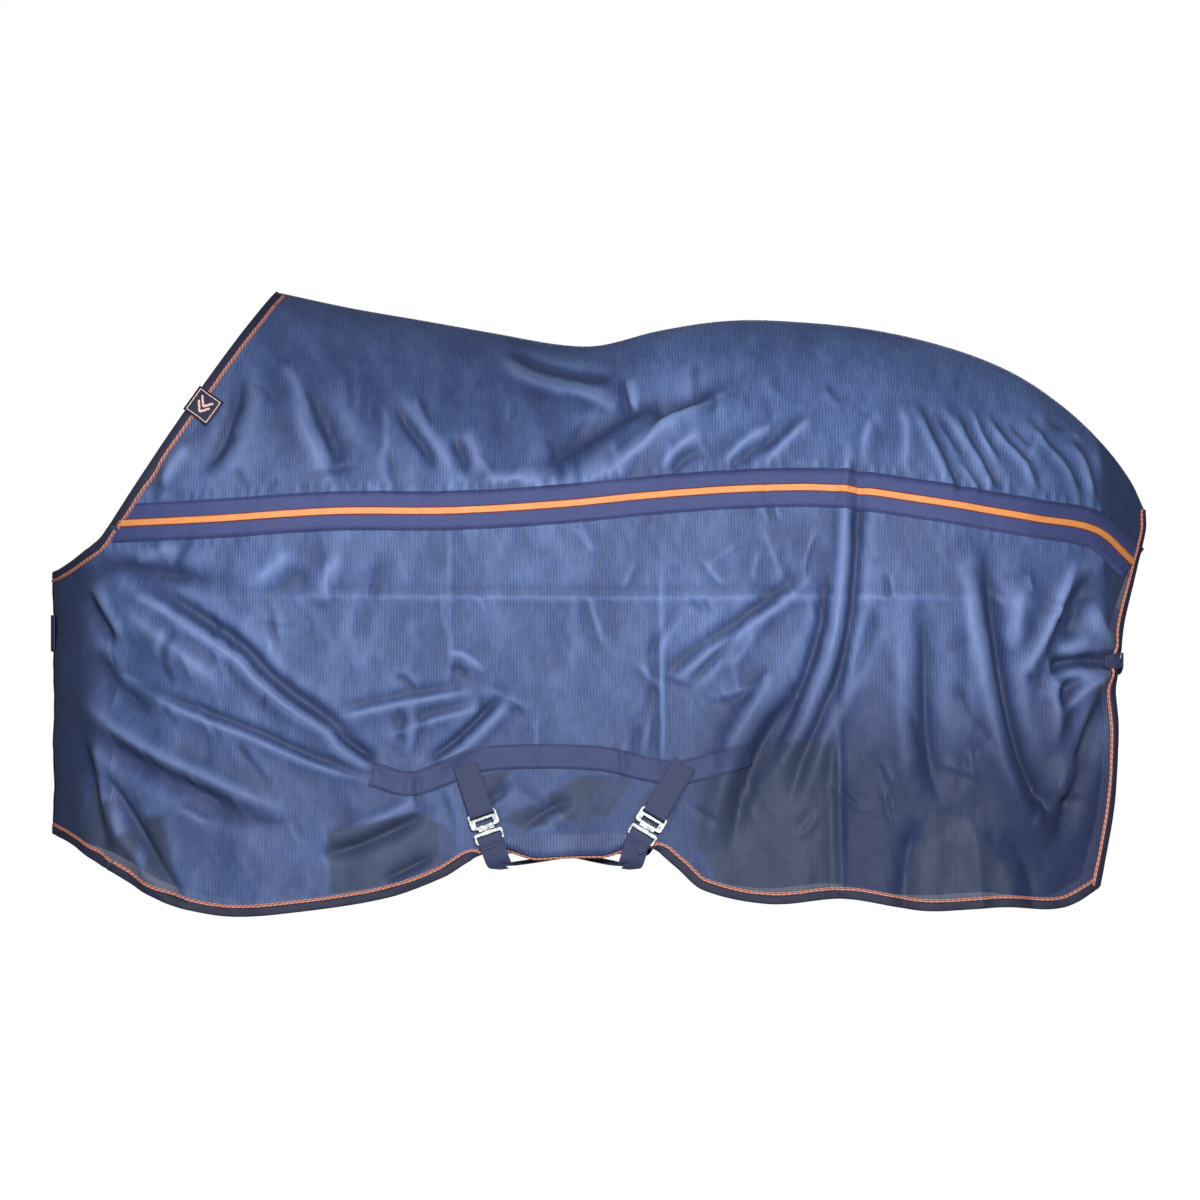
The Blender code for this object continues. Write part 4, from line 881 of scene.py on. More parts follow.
def mark_layers(mesh, side, x, z):
    """Writes painted light as attributes of the mesh: painted shade in fold hollows, low on the side and
    over the listed places, a painted highlight on fold crowns, and greyer painted see-through light near the
    hem."""
    # painted shadow of the crossed straps behind the near side
    behind = np.zeros(x.shape)
    for corners in STRAP_SHADOWS if side == NEAR else []:
        behind = np.maximum(behind, 0.55 * inside(corners, x, z))
    heights = relief(side, x, z)
    stand = heights - softened(softened(heights, 4), 3)
    # painted shade: darker low on the side and more so towards the rear, then over the places listed above
    deep = np.maximum(behind, step(-0.44, -0.76, z) * (0.38 + 0.58 * step(0.0, 0.35, x)))
    for share, along_rug, up_rug in PAINTED_SHADE_PLACES:
        deep = np.maximum(deep, share * step(*along_rug, x) * step(*up_rug, z))
    # painted shade in the hollows of the folds
    deep = 1 - (1 - deep) * (1 - 0.66 * np.clip(-stand / 0.0036, 0, 1))
    # painted highlight on the crowns of the folds
    painted_crown_highlight = 0.36 * np.clip(stand / 0.0045, 0, 1)
    # greyer painted see-through light in patches near the hem, held back over the painted strap shadows
    grey = np.zeros(x.shape)
    for corners in SEE_THROUGH_LIGHT_PLACES if side == NEAR else []:
        grey = np.maximum(grey, (0.85 - behind) * inside(corners, x, z))
    for label, value in (("painted_shade", deep), ("painted_see_through_light", grey), ("ridge", painted_crown_highlight)):
        attribute = mesh.attributes.new(label, "FLOAT", "POINT")
        attribute.data.foreach_set("value", value.ravel().astype(np.float32))


def side_places(side, columns, upper_rows, lower_rows):
    """Places seen from the side over a whole side of the rug: rows from ridge to hem."""
    f = even_columns(columns)
    seam_x = along(mix(SEAM[0][0], SEAM[-1][0], f))
    crest_x = along(mix(CREST[0][0], CREST[-1][0], f))
    hem_x = along(mix(SEAM[0][0], HEM[-1][0], f))
    rows = []
    for s in np.linspace(0, 1, upper_rows) ** 1.55:
        rows.append((mix(crest_x, seam_x, s), mix(height(CREST, crest_x), height(SEAM, seam_x), s)))
    even = np.linspace(0, 1, lower_rows)
    for s in 1 - (1 - even[1:]) ** 1.25:
        x, z = mix(seam_x, hem_x, s), mix(height(SEAM, seam_x), hem_height(side, hem_x), s)
        straight = mix(seam_x[-1], hem_x[-1], s)
        x = x + (smooth(REAR_EDGE, z[-1]) - straight) * f**8
        rows.append((x, z))
    x, z = (np.stack(part) for part in zip(*rows))
    return x, z


def make_side_cloth(side, columns, upper_rows, lower_rows):
    """One side's cloth in one piece, from the ridge to the hem."""
    x, z = side_places(side, columns, upper_rows, lower_rows)
    points = cloth(side, x, z)
    points[0, :, 1] = 0.0
    name = side_name(side)
    mesh = grid_mesh(f"{name}_side_cloth", points, rib_uv(x, points), side)
    mark_layers(mesh, side, x, z)
    return piece(f"{name}_side_cloth", mesh, MESH, "rug", (f"{name}_upper_panel", f"{name}_lower_panel"))


def chest_places(columns, rows, gap=0.003):
    """Places over a chest panel, from its joint round to its front edge, rows from top to hem."""
    joint = math.asin((CHEST_START - along(SEAM[0][0])) / CHEST_DEPTH)
    end = math.acos(gap / HALF_WIDTH)
    angle = np.linspace(joint, end, columns)
    x = CHEST_START - CHEST_DEPTH * np.sin(angle)
    top, low = height(CHEST_TOP, x), height(HEM, x)
    s = np.linspace(0, 1, rows)[:, None]
    return np.broadcast_to(x, (rows, columns)).copy(), mix(top, low, s)


def make_chest_cloth(side):
    """One chest panel's cloth, from beside the chest joint round to its front edge."""
    x, z = chest_places(60, 120)
    points = cloth(side, x, z)
    name = side_name(side)
    mesh = grid_mesh(f"{name}_chest_cloth", points, rib_uv(x, points), -side)
    mark_layers(mesh, side, x, z)
    return piece(f"{name}_chest_cloth", mesh, MESH, f"{name}_front", (f"{name}_chest_panel",),
                 bends=True)


# ---------------------------------------------------------------- tapes laid on the cloth

def laid_strip(side, centre_x, centre_z, width, lift, rows=7, lean=0.0):
    """A strip of tape along a line on the cloth: its points and UV, from its upper to its lower side.
    lean sets its front end off square, as x over z."""
    run = np.stack([np.gradient(centre_x), np.gradient(centre_z)], -1)
    run /= np.linalg.norm(run, axis=-1, keepdims=True)
    offsets = np.linspace(0.5, -0.5, rows) * width
    fade = np.clip(1 - (centre_x - centre_x[0]) / 0.15, 0, 1)
    x = np.stack([centre_x - run[:, 1] * o + lean * o * fade for o in offsets])
    if lean:
        x = np.maximum(x, JOINT_X + 0.002)
    z = np.stack([centre_z + run[:, 0] * o for o in offsets])
    points = cloth(side, x, z, lift)
    u = np.broadcast_to(lengths(points[rows // 2]), x.shape)
    v = np.broadcast_to(((offsets[0] - offsets))[:, None], x.shape)
    return points, np.stack([u, v], -1)


def neck_lean():
    """How far the neck edge runs back for each metre that it rises."""
    return (along(CREST[0][0]) - along(SEAM[0][0])) / (DROP * (CREST[0][1] - SEAM[0][1]))


def make_bands(side):
    """The navy side band and the orange stripe along its middle."""
    name = side_name(side)
    x = along(even_columns(460) * (0.985 - 0.0665) + 0.0665)
    for label, node, width, lift, thick, material, slot in (
            ("band_tape", "side_band", BAND_WIDTH, 0.0016, 0.0012, BAND, "navy_tape"),
            ("orange_stripe", "band_stripe", STRIPE_WIDTH, 0.0026, 0.0008, STRIPE, "orange_tape")):
        points, uv = laid_strip(side, x, height(SEAM, x), width, lift, lean=neck_lean())
        strip = piece(f"{name}_{label}", grid_mesh(label, points, uv, side), material, "rug",
                      (f"{name}_{node}",))
        thicken(strip, thick)


def edge_profile(side, edge_x, edge_z, inward_x, inward_z, body, edge, squeeze=None):
    """Binding folded over an edge, with corded piping along its inner side, and a thinner dark cord
    beside the piping for its painted shadow.
    """
    tape_name, cord_name, tape_node, cord_node = (
        f"{side_name(side)}_{edge}_{kind}" for kind in ("tape", "cord", "binding", "piping"))
    squeeze = np.ones(edge_x.shape) if squeeze is None else squeeze
    across = np.array([1.0, 0.75, 0.5, 0.25, 0.04])
    rows = []
    for sign, order in ((1, across), (-1, across[::-1])):
        for a in order:
            reach = a * BINDING_WIDTH * squeeze
            lift = sign * (0.0027 - 0.0008 * (a > 0.9))
            rows.append(cloth(side, edge_x + inward_x * reach, edge_z + inward_z * reach, lift))
    points = np.stack(rows)
    outer = cloth(side, edge_x, edge_z)
    outward = outer - cloth(side, edge_x + inward_x * 0.003, edge_z + inward_z * 0.003)
    outward /= np.linalg.norm(outward, axis=-1, keepdims=True)
    points = np.insert(points, 5, outer + outward * 0.0012, axis=0)
    u = np.broadcast_to(lengths(outer), points.shape[:2])
    turned = np.concatenate([np.linspace(0, 1, 5), [1.05], np.linspace(1.1, 2.1, 5)])
    v = np.broadcast_to(turned[:, None] * BINDING_WIDTH, u.shape)
    bends = body != "rug"
    item = piece(tape_name, grid_mesh(tape_name, points, np.stack([u, v], -1), side), TAPE, body,
                 (tape_node,), bends)
    thicken(item, 0.0008)
    cords = []
    # the piping, and a thinner dark cord further in that stands for its painted shadow
    for number, (radius, reach, sides) in enumerate(((CORD_RADIUS, BINDING_WIDTH + 0.0012, 8),
                                                     (SHADOW_CORD, BINDING_WIDTH + 0.0040, 6))):
        line = cloth(side, edge_x + inward_x * reach * squeeze, edge_z + inward_z * reach * squeeze,
                     radius + 0.0006)
        ring, ring_uv = tube(line, radius, sides)
        cords.append((number, grid_mesh("cord", ring, ring_uv, NEAR, closed=True)))
    piece(cord_name, joined(cord_name, cords), [CORD, PIPING_SHADOW_CORD], body, (cord_node,), bends)


def unit(a, b):
    size = np.sqrt(a * a + b * b)
    return a / size, b / size


def neck_line(s):
    """The neck edge, by the share of the way down it."""
    return (mix(along(CREST[0][0]), along(SEAM[0][0]), s),
            mix(DROP * CREST[0][1], DROP * SEAM[0][1], s))


def make_edges(side):
    """Bindings and piping of the neck, hem and rear edges on one side."""
    # the neck edge, from its top down to the chest joint
    x, z = neck_line(np.linspace(0.004, 0.997, 150))
    inward = unit(-np.gradient(z), np.gradient(x))
    edge_profile(side, x, z, *inward, "rug", "neck")
    # the hem, from the chest joint to the tail
    x = np.concatenate([np.linspace(along(SEAM[0][0]) + 0.0003, -0.25, 150), np.linspace(-0.247, 0.14, 130),
                        np.linspace(0.143, along(HEM[-1][0]) - 0.001, 190)])
    z = hem_height(side, x)
    tilt = unit(-np.gradient(z, x), np.ones(x.shape))
    squeeze = mix(1.0, 1 / ROLL_ANGLE, roll_weight(x))
    edge_profile(side, x, z, *tilt, "rug", "hem", squeeze)
    # the rear edge, from the ridge's end to the hem
    z = np.linspace(REAR_EDGE[-1][0] - 0.002, REAR_EDGE[0][0] + 0.001, 220)
    x = smooth(REAR_EDGE, z)
    steep = (half_width(x, z) - half_width(x - 0.004, z)) / 0.004
    squeeze = 1 / np.sqrt(1 + steep**2)
    inward = unit(-np.ones(x.shape), np.gradient(x, z))
    edge_profile(side, x, z, *inward, "rug", "rear", squeeze)


def make_chest_edges(side):
    """Bindings and piping of the chest panel on one side."""
    name = side_name(side)
    body = f"{name}_front"
    x, z = chest_places(50, 90)
    for label, row, sign in (("neck", 0, 1), ("hem", -1, -1)):
        ex, ez = x[row], z[row]
        run = lengths(np.stack([ex, half_width(ex, ez)], -1))
        tilt = unit(np.gradient(run), np.gradient(ez))
        edge_profile(side, ex, ez, sign * tilt[1] * np.gradient(ex, run), -sign * tilt[0], body,
                     f"chest_{label}")
    # the front edge folds over a straight line, so it follows the chest's own arc
    levels = z[1:-1, -1]
    rows = []
    for reach, lift in ((.016, .0018), (.008, .0022), (.002, .0022), (0, 0), (.002, -.0022), (.008, -.0022),
                        (.016, -.0018)):
        angle = math.acos((0.003 + reach) / HALF_WIDTH)
        ex = np.full(levels.shape, CHEST_START - CHEST_DEPTH * math.sin(angle))
        rows.append(cloth(side, ex, levels, lift))
    points = np.stack(rows)
    item = piece(f"{name}_chest_front_tape", grid_mesh("front", points, metre_uv(points), side), TAPE, body,
                 (f"{name}_chest_front_binding",))
    thicken(item, 0.0008)


def patch_line(side, count, inset=0.0):
    """The middle line and the height of the girth patch, its ends drawn in by an inset."""
    if side == NEAR:
        x = np.linspace(PATCH_LINE[0][0] + inset, PATCH_LINE[-1][0] - inset, count)
        return x, smooth(PATCH_LINE, x), PATCH_HEIGHT
    x = np.linspace(along(FAR_PATCH[0]) + inset, along(FAR_PATCH[1]) - inset, count)
    return x, height(GIRTH, x), FAR_PATCH_HEIGHT


def make_girth_patch(side):
    """The reinforcing strip that the straps are sewn to."""
    name = side_name(side)
    x, z, tall = patch_line(side, 240)
    points, uv = laid_strip(side, x, z, tall, 0.0014, 9)
    strip = piece(f"{name}_girth_patch", grid_mesh("patch", points, uv, side), PATCH, "rug",
                  (f"{name}_surcingle_patch",))
    return thicken(strip, 0.0010)


def make_ridge_tape():
    """The tape sewn inside along the seam over the back."""
    x = np.linspace(along(CREST[1][0]), along(CREST[-2][0]) - 0.04, 260)
    rows = []
    for side, fall in ((NEAR, 0.012), (NEAR, 0.004), (NEAR, 0.0), (FAR, 0.004), (FAR, 0.012)):
        rows.append(cloth(side, x, height(CREST, x) - fall, -0.0022))
    points = np.stack(rows)
    points[2, :, 1] = 0.0
    points[2, :, 2] = height(CREST, x) - 0.0026
    item = piece("ridge_tape", grid_mesh("ridge_tape", points, metre_uv(points), NEAR), TAPE, "rug",
                 ("ridge_seam_tape",))
    thicken(item, 0.0008)


# ---------------------------------------------------------------- straps on the frame's own routes

# the frame's own sizes, so that the webbing runs through its plates, hooks and slides
CLEAR = 0.0004
FABRIC = 0.0020
PATCH_TAPE = 0.0016
PLATE_LENGTH, PLATE_THICK, PLATE_BAR = 0.026, 0.0025, 0.0040
HOOK_TRAVEL, HOOK_LENGTH = 0.0055, 0.018
PLATE_OFFSET, RUN_OFFSET, RUN_FOOT = 0.0092, 0.0060, 0.028
LOOP_SIDE, LOOP_CORNER = 0.80, 0.35
TAB_SEWN = 0.86
STRAP_LOW = -0.866
TAB_LEVEL, RUN_LEVEL = -0.763, -0.745
LEG = PLATE_THICK / 2 + CLEAR + STRAP_TAPE / 2
FRONT_TAB, REAR_TAB = (0.396, math.radians(19)), (0.546, math.radians(-31))
FRONT_RUN, REAR_RUN = (0.384, math.radians(19)), (0.566, math.radians(-31))


def strap_frame(share, level, slant, side, offset):
    """Local axes on the side wall: x across the strap, y out of the wall and z up the strap."""
    up = Vector((-math.sin(slant), 0, math.cos(slant)))
    out = Vector((0, side, 0))
    place = Matrix((out.cross(up), out, up)).transposed().to_4x4()
    place.translation = Vector((along(share), side * (HALF_WIDTH + offset), DROP * level))
    return place


def local_stations(place, path):
    """World points and outward directions for a path of (out, up) pairs in a strap's frame."""
    found = []
    for k, (n, z) in enumerate(path):
        before, later = path[max(k - 1, 0)], path[min(k + 1, len(path) - 1)]
        way = Vector((0, later[0] - before[0], later[1] - before[1]))
        facing = place.to_3x3() @ Vector((1, 0, 0)).cross(way).normalized()
        found.append((place @ Vector((0, n, z)), facing))
    return found


def webbing(name, stations, width, body, node, steps):
    """Webbing along stations, thick at the middle and thinner at its selvedges."""
    knots = np.array([[*p, *n] for p, n in stations])
    line = curve_through(knots, steps)
    points, facing = line[:, :3], line[:, 3:]
    facing /= np.linalg.norm(facing, axis=1, keepdims=True)
    run = np.gradient(points, axis=0)
    across = np.cross(run, facing)
    across /= np.linalg.norm(across, axis=1, keepdims=True)
    profile = [(-0.5, 0.0), (-0.49, 0.30), (-0.44, 0.42), (-0.25, 0.5), (0, 0.5), (0.25, 0.5),
               (0.44, 0.42), (0.49, 0.30), (0.5, 0.0), (0.49, -0.30), (0.44, -0.42), (0, -0.5),
               (-0.44, -0.42), (-0.49, -0.30)]
    rings = np.stack([points + across * (a * width) + facing * (t * STRAP_TAPE) for a, t in profile])
    u = np.broadcast_to(lengths(points), rings.shape[:2])
    v = np.broadcast_to(np.array([(a + 0.5) * width for a, _ in profile])[:, None], u.shape)
    mesh = grid_mesh(name, rings, np.stack([u, v], -1), FAR, closed=True)
    close_ends(mesh)
    return piece(name, mesh, WEB, body, (node,))


def close_ends(mesh):
    """Fills the open ends of a tube and makes its faces look outwards."""
    work = bmesh.new()
    work.from_mesh(mesh)
    bmesh.ops.holes_fill(work, edges=[e for e in work.edges if e.is_boundary], sides=0)
    bmesh.ops.recalc_face_normals(work, faces=work.faces)
    work.to_mesh(mesh)
    work.free()
    mesh.set_sharp_from_angle(angle=math.radians(50))


def make_tab(label, tab):
    """The near tab: sewn to the girth patch, round the slot plate's bar and back up behind itself."""
    place = strap_frame(tab[0], TAB_LEVEL, tab[1], NEAR, PLATE_OFFSET)
    centre = place.translation
    patch_level = float(height(GIRTH, centre.x)) + PATCH_SEAT
    top = (patch_level - centre.z) / math.cos(tab[1])
    bar_low = PLATE_LENGTH / 2 - PLATE_BAR
    bottom = bar_low - 2 * CLEAR - STRAP_TAPE / 2
    wall = FABRIC / 2 - PLATE_OFFSET
    on_patch = wall + PATCH_TAPE + 2 * CLEAR + STRAP_TAPE / 2
    side, corner = LEG * LOOP_SIDE, bottom + LEG * LOOP_CORNER
    path = [(on_patch, top), (on_patch, top * TAB_SEWN), (LEG, PLATE_LENGTH / 2 + 0.006), (LEG, bar_low),
            (side, corner), (0.0, bottom), (-side, corner), (-LEG, bar_low), (-LEG, PLATE_LENGTH / 2 + 0.002),
            (wall + CLEAR * 3 + STRAP_TAPE / 2, PLATE_LENGTH / 2 + 0.012)]
    webbing(f"near_{label}_tab_web", local_stations(place, path), STRAP_WIDTH, "rug", f"near_{label}_tab",
            steps=4)
    return place


def hook_levels():
    """Heights on the strap of the T-hook's window sill and of its foot."""
    top = -PLATE_LENGTH / 2 - HOOK_TRAVEL - CLEAR * 3
    foot = top - HOOK_LENGTH
    return foot + PLATE_BAR, foot


def far_run(run):
    """The straight stretch of a belly strap on the far wall: its foot, its direction and its rise."""
    share, slant = run
    up = Vector((-math.sin(slant), 0, math.cos(slant)))
    middle = Vector((along(share), HALF_WIDTH + RUN_OFFSET, DROP * RUN_LEVEL))
    foot = middle - up * ((middle.z - STRAP_LOW - RUN_FOOT) / up.z)
    patch = float(height(GIRTH, middle.x)) + PATCH_SEAT
    return foot, up, (patch - foot.z) / up.z


def make_belly_web(label, place, run, lift):
    """From the near T-hook, under the belly, up the far wall and onto the far patch."""
    window_low, hook_foot = hook_levels()
    turn = window_low + HOOK_TRAVEL + 2 * CLEAR + STRAP_TAPE / 2
    close = STRAP_TAPE / 2 + CLEAR / 2
    front = [(close, hook_foot - 0.010), (close, hook_foot - 0.006), (LEG, hook_foot - 0.001),
             (LEG, turn - 0.003), (LEG * LOOP_SIDE, turn - LEG * LOOP_CORNER)]
    stations = local_stations(place, front + [(0.0, turn)] + [(-n, z) for n, z in front[::-1]])
    start = stations[-1][0]
    foot, up, rise = far_run(run)
    near, down, far = Vector((0, -1, 0)), Vector((0, 0, -1)), Vector((0, 1, 0))
    # share of the way over, place across, height over the lowest level, and the way it faces
    for share, y, over, facing in ((0.03, start.y + 0.004, 0.013, near + down * 0.4),
                                   (0.06, start.y + 0.018, 0.003, near * 0.4 + down),
                                   (0.14, start.y + 0.050, 0.006, down),
                                   (0.50, 0.0, 0.009 + lift, down),
                                   (0.86, foot.y - 0.050, 0.004, down),
                                   (0.94, foot.y - 0.018, 0.003, far * 0.4 + down),
                                   (0.97, foot.y - 0.004, 0.013, far + down * 0.4)):
        stations.append((Vector((mix(start.x, foot.x, share), y, STRAP_LOW + over)), facing.normalized()))
    for share in (0.0, 0.2, 0.5, 0.8):
        stations.append((foot + up * (rise * share), far))
    end = foot + up * (rise + 0.010)
    end.y = HALF_WIDTH + FABRIC / 2 + PATCH_TAPE + 2 * CLEAR + STRAP_TAPE / 2
    stations.append((end, far))
    webbing(f"{label}_belly_web", stations, STRAP_WIDTH, "rug", f"{label}_belly_strap", steps=6)


def make_straps():
    """Both tabs and both belly straps. The straps cross under the belly, one above the other."""
    for label, tab, run, lift in (("front", FRONT_TAB, REAR_RUN, 0.0),
                                  ("rear", REAR_TAB, FRONT_RUN, STRAP_TAPE * 2)):
        place = make_tab(label, tab)
        make_belly_web(label, place, run, lift)


def make_tail_strap():
    """A webbing strap between the rear edges, sewn to a small patch on each."""
    level = TAIL_LEVEL * DROP
    ends = []
    tip = float(smooth(REAR_EDGE, level))
    for side in (NEAR, FAR):
        name = side_name(side)
        x, z = np.meshgrid(np.linspace(tip - 0.034, tip - 0.0075, 13),
                           np.linspace(level + 0.017, level - 0.017, 9))
        points = cloth(side, x, z, 0.0014)
        item = piece(f"{name}_tail_anchor_patch", grid_mesh("anchor", points, metre_uv(points), side), WEB,
                     "rug", (f"{name}_tail_anchor",))
        thicken(item, 0.0010)
        out = Vector((0.9, side * 0.43, 0)).normalized()
        spots = [cloth(side, np.array([tip - d]), np.array([level]), lift)[0]
                 for d, lift in ((0.020, 0.0042), (0.008, 0.0066), (0.0005, 0.0056))]
        ends.append([(Vector(s), out) for s in spots])
        last = Vector(spots[-1]) + Vector((0.006, -side * 0.010, 0))
        ends[-1].append((last, Vector((1, side * 0.2, 0)).normalized()))
    middle = (ends[0][-1][0] + ends[1][-1][0]) / 2 + Vector((0.006, 0, -0.012))
    stations = ends[0] + [(middle, Vector((1, 0, 0)))] + ends[1][::-1]
    webbing("tail_web", stations, TAIL_STRAP_WIDTH, "rug", "tail_strap", steps=8)


# ---------------------------------------------------------------- badge, flap and closure

def make_badge():
    """A small woven badge over the near neck binding, with a plain chevron worked on it."""
    low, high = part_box("neck_label")
    middle = (low + high) / 2
    top, foot = Vector(neck_line(0.0)), Vector(neck_line(1.0))
    run = (foot - top).normalized()
    inward = Vector((-run.y, run.x))
    centre = top + run * (Vector((middle.x, middle.z)) - top).dot(run)
    size, reach, inset = 0.046, 0.045, 0.0035

    def spot(a, b, lift):
        x, z = centre.x + run.x * a + inward.x * b, centre.y + run.y * a + inward.y * b
        return cloth(NEAR, x, z, lift)

    a = np.linspace(-size / 2, size / 2, 13)[:, None] + np.zeros((13, 13))
    b = np.linspace(-0.001, reach, 13)[None] + np.zeros((13, 13))
    points = spot(a, b, 0.0064)
    mesh = grid_mesh("badge", points, np.stack([b, a + size / 2], -1), FAR)
    thicken(piece("neck_badge", mesh, TAPE, "rug", ("neck_label",)), 0.0014)
    left, right = inset - size / 2, size / 2 - inset
    border = [(left, inset), (right, inset), (right, reach - inset), (left, reach - inset), (left, inset)]
    chevrons = [[(a, 0.012), (a + 0.014, 0.023), (a, 0.034)] for a in (-0.012, -0.002)]
    t = np.linspace(0, 1, 12)
    strokes = []
    for corners, finish, width in ((border, 0, 0.0009), (chevrons[0], 1, 0.0022), (chevrons[1], 1, 0.0022)):
        for (a0, b0), (a1, b1) in zip(corners, corners[1:]):
            strokes.append((finish, spot(mix(a0, a1, t), mix(b0, b1, t), 0.0082), width))
    embroidery("badge_embroidery", strokes, [PALE_THREAD, ORANGE_THREAD], "rug")


def chest_spot(across, level, lift):
    """Places on the front of the chest, by distance off the middle plane, lifted outwards."""
    across = np.asarray(across, float)
    angle = np.arccos(across / HALF_WIDTH)
    x = CHEST_START - CHEST_DEPTH * np.sin(angle)
    normal = np.stack([-np.sin(angle) / CHEST_DEPTH, np.cos(angle) / HALF_WIDTH, 0 * angle], -1)
    normal /= np.linalg.norm(normal, axis=-1, keepdims=True)
    return np.stack([x, across, level + 0 * x], -1) + normal * np.asarray(lift)[..., None]


def chest_piece(name, node, body, start, end, root_lift, lift, tall, thick, material, point=0.0):
    """A thin upright patch round the chest, pointed at its far end if asked."""
    t = np.linspace(0, 1, 41)
    across = mix(start, end, t)
    rows = np.linspace(0.5, -0.5, 13)
    narrow = 1 - point * step(0.72, 1.0, t)
    rise = mix(root_lift, lift, step(0.14, 0.34, t))
    sag = -0.004 * t**2 if point else 0 * t
    points = np.stack([chest_spot(across, FLAP_LEVEL + r * tall * narrow + sag, rise) for r in rows])
    uv = np.stack([np.broadcast_to(across - start, points.shape[:2]),
                   np.broadcast_to(((0.5 - rows) * tall)[:, None], points.shape[:2])], -1)
    thicken(piece(name, grid_mesh(name, points, uv, NEAR), material, body, (node,)), thick, 0.0)


def make_closure():
    """The chest flap with its chevrons, and the two touch-close pads under it."""
    chest_piece("chest_closing_flap", "chest_flap", "flap", -0.048, 0.052, 0.0024, 0.0054, 0.060, 0.0020,
                WEB, 0.60)
    chest_piece("touch_hook_pad", "touch_hook_patch", "flap", 0.020, 0.046, 0.0039, 0.0039, 0.036, 0.0010,
                HOOKS)
    chest_piece("touch_loop_pad", "touch_loop_patch", "far_front", 0.020, 0.046, 0.0019, 0.0019, 0.036,
                0.0010, LOOPS)
    # two plain chevrons on the flap's end
    t = np.linspace(0, 1, 14)
    strokes = [(0, chest_spot(mix(0.006, 0.018, t) + shift, FLAP_LEVEL - 0.001 + sign * mix(0.012, 0.0, t),
                              0.0068 + 0 * t), 0.0012) for shift in (0.0, 0.010) for sign in (1, -1)]
    embroidery("flap_embroidery", strokes, ORANGE_THREAD, "flap")


# ---------------------------------------------------------------- stitches

def stitch_tree():
    """Short threads laid along a line: resampled, one thread at each point, then made real."""
    tree = bpy.data.node_groups.new("stitch_row", "GeometryNodeTree")
    faces = tree.interface
    for label, kind in (("Geometry", "Geometry"), ("Pitch", "Float"), ("Length", "Float"),
                        ("Radius", "Float"), ("Thread", "Material")):
        faces.new_socket(label, in_out="INPUT", socket_type="NodeSocket" + kind)
    faces.new_socket("Geometry", in_out="OUTPUT", socket_type="NodeSocketGeometry")
    source, result = add(tree, "NodeGroupInput"), add(tree, "NodeGroupOutput")
    line = add(tree, "GeometryNodeMeshToCurve", None, {"Mesh": source.outputs["Geometry"]})
    even = add(tree, "GeometryNodeResampleCurve", {"mode": "LENGTH"}, {"Curve": line.outputs["Curve"]})
    tree.links.new(source.outputs["Pitch"], even.inputs["Length"])
    points = add(tree, "GeometryNodeCurveToPoints", {"mode": "EVALUATED"}, {"Curve": even.outputs["Curve"]})
    thread = add(tree, "GeometryNodeMeshCylinder", {"fill_type": "TRIANGLE_FAN"}, None, Vertices=6)
    tree.links.new(source.outputs["Radius"], thread.inputs["Radius"])
    tree.links.new(source.outputs["Length"], thread.inputs["Depth"])
    turned = add(tree, "FunctionNodeAlignEulerToVector", {"axis": "Z"},
                 {"Vector": points.outputs["Tangent"]})
    laid = add(tree, "GeometryNodeInstanceOnPoints", None,
               {"Points": points.outputs["Points"], "Instance": thread.outputs["Mesh"],
                "Rotation": turned.outputs["Rotation"]})
    real = add(tree, "GeometryNodeRealizeInstances", None, {"Geometry": laid.outputs["Instances"]})
    painted = add(tree, "GeometryNodeSetMaterial", None, {"Geometry": real.outputs["Geometry"],
                                                          "Material": source.outputs["Thread"]})
    tree.links.new(painted.outputs["Geometry"], result.inputs["Geometry"])
    return tree


def make_stitches(name, lines, thread, body, pitch=0.0060, length=0.0042, radius=0.00055):
    """Rows of stitches along several lines of points, as one mesh."""
    mesh = bpy.data.meshes.new(name + "_lines")
    edges, start = [], 0
    for line in lines:
        edges += [(start + i, start + i + 1) for i in range(len(line) - 1)]
        start += len(line)
    mesh.from_pydata(np.concatenate(lines).tolist(), edges, [])
    rows = new_object(name + "_rows", mesh)
    modifier = rows.modifiers.new("stitches", "NODES")
    modifier.node_group = STITCHES
    inputs = {item.name: item.identifier for item in STITCHES.interface.items_tree
              if item.item_type == "SOCKET" and item.in_out == "INPUT"}
    for label, value in (("Pitch", pitch), ("Length", length), ("Radius", radius), ("Thread", thread)):
        modifier[inputs[label]] = value
    bpy.context.view_layer.update()
    made = bpy.data.meshes.new_from_object(rows.evaluated_get(bpy.context.evaluated_depsgraph_get()))
    bpy.data.objects.remove(rows)
    made.materials.clear()
    if "cloth" not in made.uv_layers:
        made.uv_layers.new(name="cloth")
    made.name = name
    return piece(name, made, thread, body)


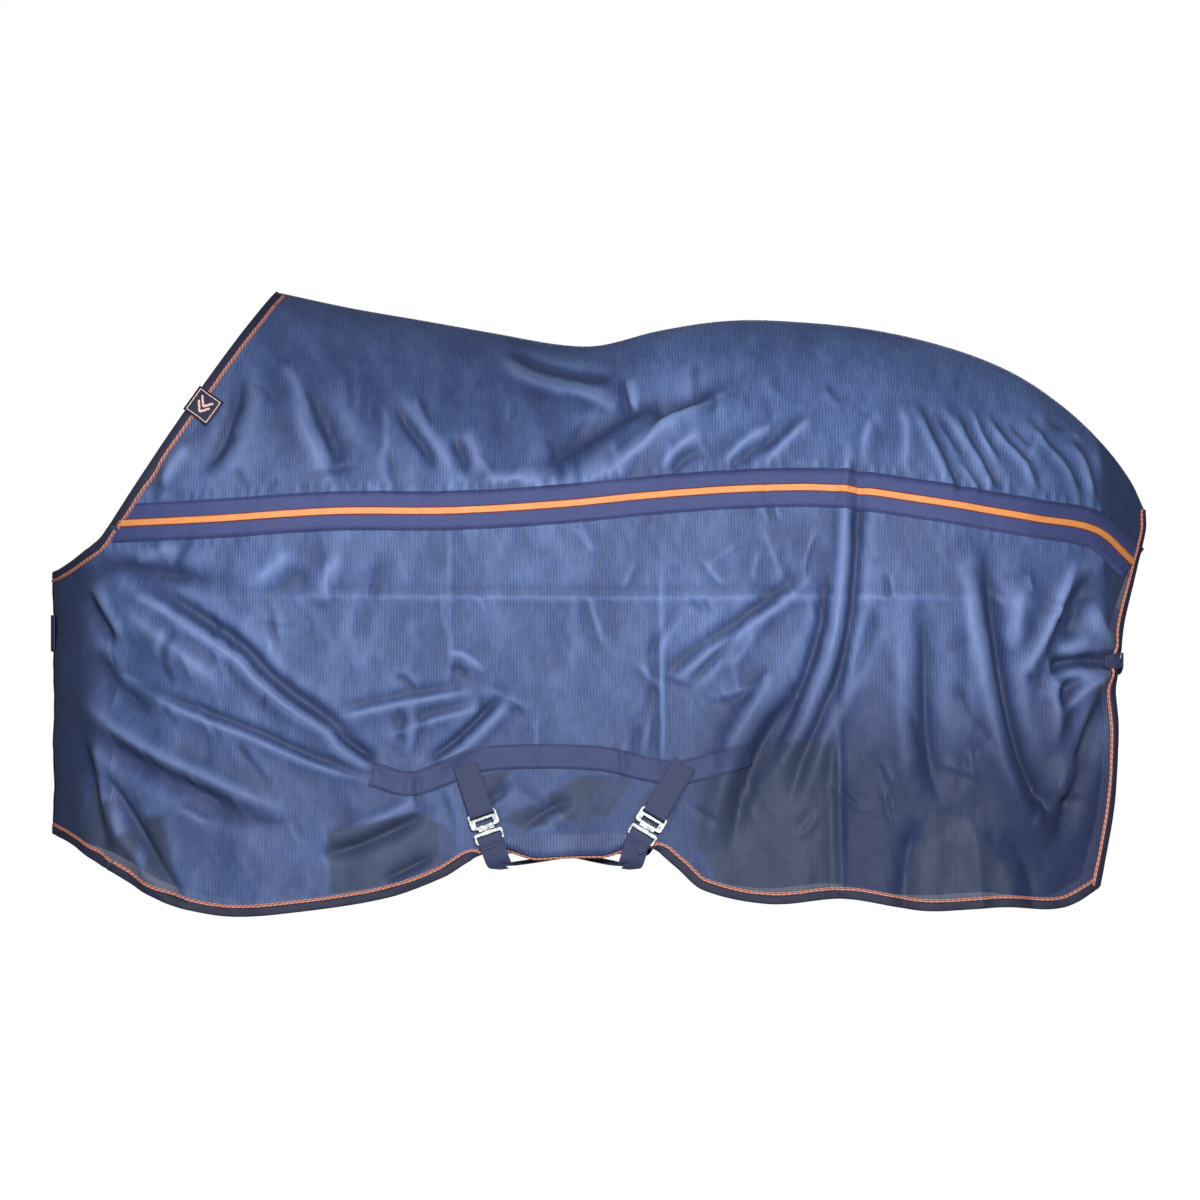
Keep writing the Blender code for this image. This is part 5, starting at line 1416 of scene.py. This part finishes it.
def hem_line(side, inset, lift, start, end, count):
    """A line of points a little above the hem, drawn in where the hem rolls under."""
    x = np.linspace(start, end, count)
    z = hem_height(side, x)
    tilt = unit(-np.gradient(z, x), np.ones(x.shape))
    tight = inset * mix(1.0, 1 / ROLL_ANGLE, roll_weight(x))
    return cloth(side, x + tilt[0] * tight, z + tilt[1] * tight, lift)


def make_all_stitches():
    """Stitching along the bands, the hem, the neck edge and round the girth patches."""
    for side in (NEAR, FAR):
        name = side_name(side)
        rows = []
        for edge in (0.5, -0.5):
            off = edge * (BAND_WIDTH - 0.006)
            x = np.linspace(along(0.070) + max(off * neck_lean(), 0), along(0.983), 420)
            rows.append(cloth(side, x, height(SEAM, x) + off, 0.0020))
        rows.append(hem_line(side, BINDING_WIDTH, 0.0030, along(SEAM[0][0]) + 0.004,
                             along(HEM[-1][0]) - 0.004, 480))
        x, z = neck_line(np.linspace(0.01, 0.99, 150))
        inward = unit(-np.gradient(z), np.gradient(x))
        rows.append(cloth(side, x + inward[0] * BINDING_WIDTH, z + inward[1] * BINDING_WIDTH, 0.0030))
        make_stitches(f"{name}_seam_stitches", rows, THREAD, "rug")
        x, middle, tall = patch_line(side, 220, 0.003 if side == NEAR else 0.001 * LENGTH)
        rows = [cloth(side, x, middle + e * (tall - 0.006), 0.0018) for e in (0.5, -0.5)]
        for k in (0, -1):
            z = np.linspace(middle[k] + tall / 2 - 0.004, middle[k] - tall / 2 + 0.004, 12)
            rows.append(cloth(side, x[k] + 0 * z, z, 0.0018))
        make_stitches(f"{name}_patch_stitches", rows, THREAD, "rug")


# ---------------------------------------------------------------- the rug

make_studio()
near_cloth = make_side_cloth(NEAR, 400, 84, 154)
far_cloth = make_side_cloth(FAR, 300, 54, 104)
near_chest = make_chest_cloth(NEAR)
far_chest = make_chest_cloth(FAR)
for side in (NEAR, FAR):
    make_bands(side)
    make_edges(side)
    make_chest_edges(side)
    make_girth_patch(side)
make_ridge_tape()
make_straps()
make_tail_strap()
make_badge()
make_closure()
STITCHES = stitch_tree()
make_all_stitches()

for label in ("near_front_slot_plate", "near_rear_slot_plate", "front_t_hook", "rear_t_hook",
              "front_strap_slider", "rear_strap_slider"):
    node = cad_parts[label]
    node.data.materials.clear()
    node.data.materials.append(STEEL)
